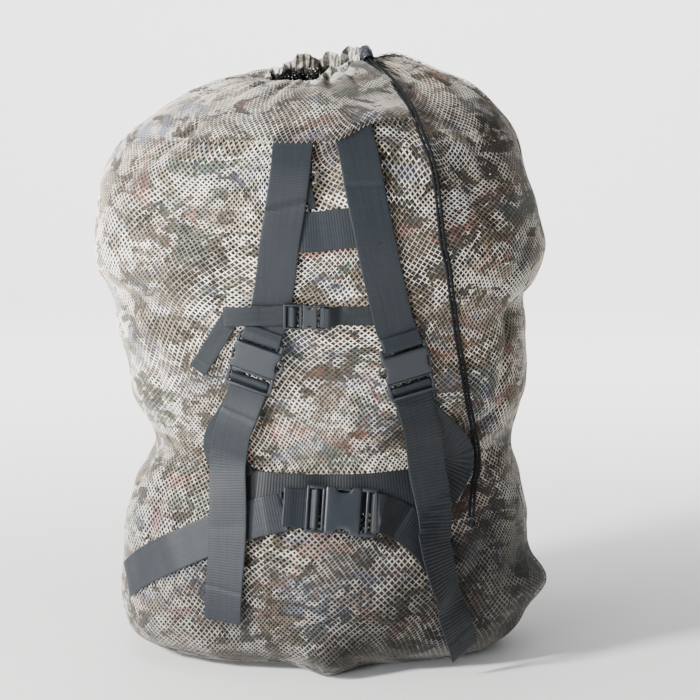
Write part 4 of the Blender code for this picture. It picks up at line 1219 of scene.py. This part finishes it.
def tube_along(line, radius, sides, closed):
    """A tube: circles of RADIUS square to a line, turned with it from a fixed first direction. The UV map's
    first value is the share of the way round, the second the distance along in metres."""
    line = np.asarray(line, float)
    if closed:
        ahead = unit(np.roll(line, -1, 0) - np.roll(line, 1, 0))
    else:
        ahead = unit(np.gradient(line, axis=0))
    helper = np.array([0.31, 0.22, 0.93])
    side = [unit(np.cross(ahead[0], helper))]
    for direction in ahead[1:]:
        side.append(unit(side[-1] - direction * np.dot(side[-1], direction)))
    side = np.array(side)
    over = np.cross(ahead, side)
    sweep = np.linspace(0, 2 * math.pi, sides, endpoint=False)
    circles = np.cos(sweep)[:, None] * side[:, None] + np.sin(sweep)[:, None] * over[:, None]
    points = (line[:, None] + radius * circles).reshape(-1, 3)
    count = len(line)
    walked = walked_along(line) * MM
    around = np.broadcast_to((np.arange(sides) / sides)[None, :], (count, sides))
    uv = np.stack([around, np.broadcast_to(walked[:, None], (count, sides))], -1).reshape(-1, 2)
    return points, grid_faces(count, sides, True) if closed else tube_faces(count, sides), uv


plated_wire, tree, surface = shader("plated_wire", 0.22, Metallic=1.0, Base_Color=(0.62, 0.62, 0.63, 1.0))
place = tree.nodes.new("ShaderNodeTexCoord").outputs["Object"]
filled(tree, surface, {"Roughness": mapped(tree, noise(tree, place, 900.0), 0.0, 1.0, 0.15, 0.4)})


def make_hang_loop():
    """The ring is a rounded rectangle; each tab comes in from its sewn end, over the ring's bar and back."""
    x, height, lift = RING_CENTRE
    centre, normal = on_front(x, height)
    place = Place(centre, centre + np.array([0, 0, 1]) - normal * normal[2], normal, lift)
    quarter = np.repeat(np.arange(4), 6)
    sweep = np.radians(90.0 * quarter + np.tile(np.linspace(0, 90, 6), 4))
    middle = np.radians(90.0 * quarter + 45.0)
    wide = np.sign(np.cos(middle)) * (RING_HALF_WIDTH - RING_CORNER) + RING_CORNER * np.cos(sweep)
    high = np.sign(np.sin(middle)) * (RING_HALF_HEIGHT - RING_CORNER) + RING_CORNER * np.sin(sweep)
    points, quads, uv = tube_along(place.point(wide, high, 0), RING_WIRE, 10, True)
    closed_piece("hang_ring_wire", points, quads, plated_wire, "hang_ring", uv)
    for name, rows, wire, way in (
        ("hang_tab", HANG_TAB, RING_HALF_HEIGHT, -1),
        ("ring_tab", RING_TAB, -RING_HALF_HEIGHT, 1),
    ):
        front = place.point(0, [wire - way * 8, wire - way * 1.5], [TAB_LOOP - 0.6, TAB_LOOP])
        turn = place.loop(wire, 1, way, TAB_LOOP)
        behind = place.point(0, [wire - way * 1.5, wire - way * 8], [-TAB_LOOP, -TAB_LOOP])
        line, across = threaded(place, stretch_on_net(rows, spacing=8.0), (front, turn, behind), way=way)
        strap_piece(line, across, TAB_WEBBING, narrow_webbing, name)


make_hang_loop()

# The side-release buckles: moulded black acetal. A socket with a strap bar takes a plug whose two sprung arms
# show in the hollows at its sides, and the plug ends in a ladder of three bars. Fastened, none of them moves.
moulded, tree, surface = shader("moulded_plastic", 0.34)
place = tree.nodes.new("ShaderNodeTexCoord").outputs["Object"]
wear = noise(tree, place, 60.0, 5.0)
wear_tone = mixed(tree, wear, (0.009, 0.0125, 0.017), (0.015, 0.020, 0.027))
filled(tree, surface, {"Base Color": wear_tone, "Roughness": mapped(tree, wear, 0.0, 1.0, 0.26, 0.46)})
bumped(tree, surface, noise(tree, place, 1100.0), 0.25, 0.0002)

LOFT_SIDES = 28
SOFT_END = 0.9
BAR_SQUARENESS = 3.4
BODY_SQUARENESS = 8.0


def loft(line, half_u, half_w, square):
    """A closed solid of rounded sections: at each point (u, v, w) of a line in a buckle's own frame a
    superellipse of half sizes HALF_U and HALF_W stands square to v, or to u where the line runs along u."""
    line = np.asarray(line, float)
    half_u, half_w = (np.broadcast_to(half, len(line)) for half in (half_u, half_w))
    sweep = np.linspace(0, 2 * math.pi, LOFT_SIDES, endpoint=False)
    travel = np.abs(line[-1] - line[0])
    wide_axis = 1 if travel[0] > travel[1] else 0
    points = np.repeat(line[:, None, :], LOFT_SIDES, 1)
    points[..., wide_axis] += half_u[:, None] * squared_off(np.cos(sweep), square)
    points[..., 2] += half_w[:, None] * squared_off(np.sin(sweep), square)
    points, quads = points.reshape(-1, 3), tube_faces(len(line), LOFT_SIDES)
    a, b, c, d = np.moveaxis(points[quads], 1, 0)
    volume = np.sum(a * np.cross(b, c) + a * np.cross(c, d))
    return points, quads if volume > 0 else quads[:, ::-1]


def rounded(start, end):
    """Stations from START to END, closely spaced at both ends, and a share that dips there, for soft ends."""
    drawn_in = SOFT_END * (1 - np.cos(np.linspace(0, math.pi / 2, 4)))
    share = np.sin(np.linspace(0.35, math.pi / 2, 4))
    return np.concatenate([start + drawn_in, end - drawn_in[::-1]]), np.concatenate([share, share[::-1]])


def cross_bar(u_reach, v_middle, half_v, half_w):
    """A bar across the buckle from -u_reach to u_reach."""
    u, share = rounded(-u_reach, u_reach)
    line = np.stack(np.broadcast_arrays(u, v_middle, 0.0), -1)
    return loft(line, half_v * share, half_w * share, BAR_SQUARENESS)


def side_rail(u_middle, v_from, v_to, half_u, half_w):
    """A rail along the buckle."""
    v, share = rounded(v_from, v_to)
    line = np.stack(np.broadcast_arrays(u_middle, v, 0.0), -1)
    return loft(line, half_u * share, half_w * share, BAR_SQUARENESS)


SOCKET_BODY = (
    # share of its length, half width from the neck (0) to the outer edge (1), and share of its thickness
    (0.00, 0.82, 0.60),
    (0.02, 0.95, 0.86),
    (0.07, 1.00, 1.00),
    (0.20, 1.00, 1.00),
    (0.26, 0.90, 1.00),
    (0.31, 0.48, 1.00),
    (0.38, 0.22, 1.00),
    (0.50, 0.14, 1.00),
    (0.62, 0.22, 1.00),
    (0.69, 0.48, 1.00),
    (0.74, 0.90, 1.00),
    (0.80, 1.00, 1.00),
    (0.93, 1.00, 1.00),
    (0.98, 0.95, 0.86),
    (1.00, 0.84, 0.64),
)
ARM_RADIUS = 1.6
NARROW_SCALE = 0.62
SHALLOW_NOTCH = 0.42


def sprung_arm(way, neck, outer, low, high, bulge):
    """A bowed arm of the plug in the notch at one side: u = neck + (reach) sin(t)^0.7, v from LOW to HIGH by
    cosines, as a tube of oval section."""
    sweep = np.linspace(0.06, math.pi - 0.06, 26)
    reach = outer + bulge - neck - ARM_RADIUS
    line_u = neck - 0.4 + reach * np.sin(sweep) ** 0.7
    line_v = (low + high) / 2 - (high - low) / 2 * np.cos(sweep)
    line = np.stack(np.broadcast_arrays(way * line_u, line_v, 0.6), -1)
    points, quads, _ = tube_along(line, ARM_RADIUS, 12, False)
    points[:, 2] *= 1.4
    return points, quads


def side_release(name, place, strap, socket_length, socket_slots, bulges):
    """A fastened buckle of the source's sizes: scale 1 for wide webbing and less for narrow. BULGES says how
    far the arm at each side, positive u first, bows out beyond the body; such arms lie in shallow notches."""
    scale = NARROW_SCALE if strap == NARROW_WEBBING else 1.0
    outer = strap / 2 + 5.5 * scale
    slot = strap / 2 + 0.9
    neck = outer - 8.5 * scale
    body = 5.2 * scale
    rail_half = (outer - slot) / 2
    rail_middle = (outer + slot) / 2
    body_start = socket_slots * (BAR + SLOT)
    body_length = socket_length - body_start
    bar_middles = [n * (BAR + SLOT) + BAR / 2 for n in range(socket_slots)]
    parts = [cross_bar(outer - 0.6, middle, BAR / 2, BAR_HALF) for middle in bar_middles]
    for way in (-1, 1):
        parts.append(side_rail(way * rail_middle, 0.2, body_start + 4, rail_half, BAR_HALF + 0.5))
    notch = SHALLOW_NOTCH if bulges[0] > 0 else 1.0
    rows = through(SOCKET_BODY, np.linspace(0, len(SOCKET_BODY) - 1, 80))
    cut = (rows[:, 0] > 0.1) & (rows[:, 0] < 0.9)
    rows[:, 1] = np.where(cut, 1 - notch * (1 - rows[:, 1]), rows[:, 1])
    v = body_start + rows[:, 0] * body_length
    line = np.stack(np.broadcast_arrays(0.0, v, 0.0), -1)
    parts.append(loft(line, neck + rows[:, 1] * (outer - neck), body * rows[:, 2], BODY_SQUARENESS))
    finish_buckle(name + "_socket", parts, place)

    bars = ladder_bars(socket_length)
    parts = []
    low, high = body_start + 0.24 * body_length, body_start + 0.76 * body_length
    for (first, last), raise_by in zip(bars, (0.0, 0.0, 1.2)):
        points, faces = cross_bar(outer - 0.6, (first + last) / 2, BAR / 2 - 0.2, BAR_HALF)
        parts.append((points + np.array([0, 0, raise_by]), faces))
    for way, bulge in zip((1, -1), bulges):
        first, last = bars[0][0] + 0.1, bars[2][1] - 0.1
        parts.append(side_rail(way * rail_middle, first, last, rail_half, BAR_HALF + 0.6))
        parts.append(sprung_arm(way, neck + (1 - notch) * 7, outer, low, high, bulge))
    finish_buckle(name + "_plug", parts, place)


def finish_buckle(node, parts, place):
    """Puts the closed meshes of one moulded piece in their place on the bag, as one mesh."""
    starts = np.cumsum([0] + [len(points) for points, _ in parts])
    faces = np.concatenate([faces + start for (_, faces), start in zip(parts, starts)])
    placed = place.point(*np.concatenate([points for points, _ in parts]).T)
    closed_piece(node + "_moulded", placed, faces, moulded, node)


side_release("shoulder_buckle_left", left_place, WIDE_WEBBING, SHOULDER_SOCKET, 1, (2.0, 7.5))
side_release("shoulder_buckle_right", right_place, WIDE_WEBBING, SHOULDER_SOCKET, 1, (7.5, 2.0))
side_release("waist_buckle", waist_place, WIDE_WEBBING, WAIST_SOCKET, 2, (-0.6, -0.6))
side_release("chest_buckle", chest_place, NARROW_WEBBING, CHEST_SOCKET, 1, (-0.4, -0.4))

# The drawcord: 3.8 mm braided black cord that runs in the hem. Its two ends leave the hem together through
# the cord lock, hang over the right of the mouth and down the net, and are tied in one knot.
CORD_RADIUS = 1.9
STRAND_APART = 4.6
CORD_ROUTE = (
    # x, y, height
    (56, -22, 797.5),
    (57, -27, 794),
    (61, -40, 785),
    (74, -58, 776),
    (88, -81, 763),
    (100, -107, 748),
    (112, -137, 731),
    (124, -161, 701),
    (135, -171, 674),
    (141, -177, 650),
    (145, -186, 620),
    (148, -191, 591),
    (151, -192, 564),
    (158, -189, 535),
    (162, -184, 505),
    (166, -176, 478),
    (172, -165, 439),
    (180, -154, 397),
    (185, -145, 365),
    (194, -129, 323),
    (200, -117, 290),
    (201, -117, 267),
    (196, -128, 246),
    (193, -140, 221),
    (192, -146, 205),
)
route = np.array(CORD_ROUTE, float)
cord_ahead = unit(np.gradient(route, axis=0))
cord_beside = unit(np.cross(cord_ahead, (0, -1, 0.25)))


STRANDS_ROUND = 4


def braided(name, base, pitch):
    """Braided cord: two crossing sets of slanting strands, from the sum of waves in the share round and the
    distance along. The colour follows their relief: painted shade in the grooves, painted light on the
    crests."""
    made, tree, surface = shader(name, 0.7, Specular_IOR_Level=0.2)
    _, around, along = run_of(tree)
    waves = []
    for way in (1, -1):
        turn = arithmetic(tree, "MULTIPLY", around, way * 2 * math.pi * STRANDS_ROUND)
        slant = arithmetic(tree, "MULTIPLY_ADD", along, 2 * math.pi / pitch, turn)
        waves.append(arithmetic(tree, "SINE", slant))
    product = arithmetic(tree, "MULTIPLY", *waves)
    # Painted shade between the strands and painted light on their crests.
    tone = mixed(tree, mapped(tree, product, -1.0, 1.0), tinted(base, 0.5), tinted(base, 1.5))
    filled(tree, surface, {"Base Color": tone})
    bumped(tree, surface, product, 0.6, 0.0004)
    return made


cord_braid = braided("braided_cord", (0.004, 0.0048, 0.0065), 0.004)


KNOT_SIZE = 1.45


def overhand_knot(centre, axis):
    """A tight overhand knot: the closed curve (sin t + 2 sin 2t, cos t - 2 cos 2t, -1.3 sin 3t)."""
    sweep = np.linspace(0, 2 * math.pi, 72, endpoint=False)
    sideways, along = np.sin(sweep) + 2 * np.sin(2 * sweep), np.cos(sweep) - 2 * np.cos(2 * sweep)
    flat = np.stack([sideways, along, -1.3 * np.sin(3 * sweep)], -1)
    axis = unit(axis)
    side = unit(np.cross(axis, (0.2, 1.0, 0.1)))
    return centre + KNOT_SIZE * flat @ np.array([side, axis, np.cross(axis, side)])


knot_line = overhand_knot(route[-1] + cord_ahead[-1] * 6.6, cord_ahead[-1])
points, quads, uv = tube_along(knot_line, CORD_RADIUS, 12, True)
knot = closed_piece("cord_knot_tied", points, quads, cord_braid, "cord_knot", uv)

for strand, way in (("drawcord_strand_left", 1), ("drawcord_strand_right", -1)):
    centres = route + way * cord_beside * STRAND_APART / 2
    line = through(centres, resampled(centres, 2.5))
    points, quads, uv = tube_along(line, CORD_RADIUS, 12, False)
    cord = closed_piece(strand + "_braid", points, quads, cord_braid, strand, uv)

# The cord lock: a small moulded barrel that grips both strands just in front of the hem.
LOCK_PROFILE = (
    # distance along, radius
    (-11.6, 5.6),
    (-11.8, 6.4),
    (-11.0, 7.2),
    (-8.8, 7.8),
    (-7.6, 7.2),
    (-6.6, 8.0),
    (0.0, 8.3),
    (6.6, 8.0),
    (7.6, 7.2),
    (8.8, 7.8),
    (11.0, 7.2),
    (11.8, 6.4),
    (11.6, 5.6),
    (0.0, 5.2),
)


def turned_sleeve(centre, axis, profile, sides):
    """A closed ring profile of (distance along, radius) turned about an axis."""
    axis = unit(axis)
    helper = unit(np.cross(axis, [0.3, 1.0, 0.2]))
    other = np.cross(axis, helper)
    sweep = np.linspace(0, 2 * math.pi, sides, endpoint=False)
    ring = np.cos(sweep)[:, None] * helper + np.sin(sweep)[:, None] * other
    profile = np.array(profile, float)
    points = centre + profile[:, 0, None, None] * axis + profile[:, 1, None, None] * ring[None]
    return points.reshape(-1, 3), grid_faces(len(profile), sides, closed=True)


points, quads = turned_sleeve(route[1], route[2] - route[0], LOCK_PROFILE, 32)
closed_piece("cord_lock_moulded", points, quads, moulded, "cord_lock")
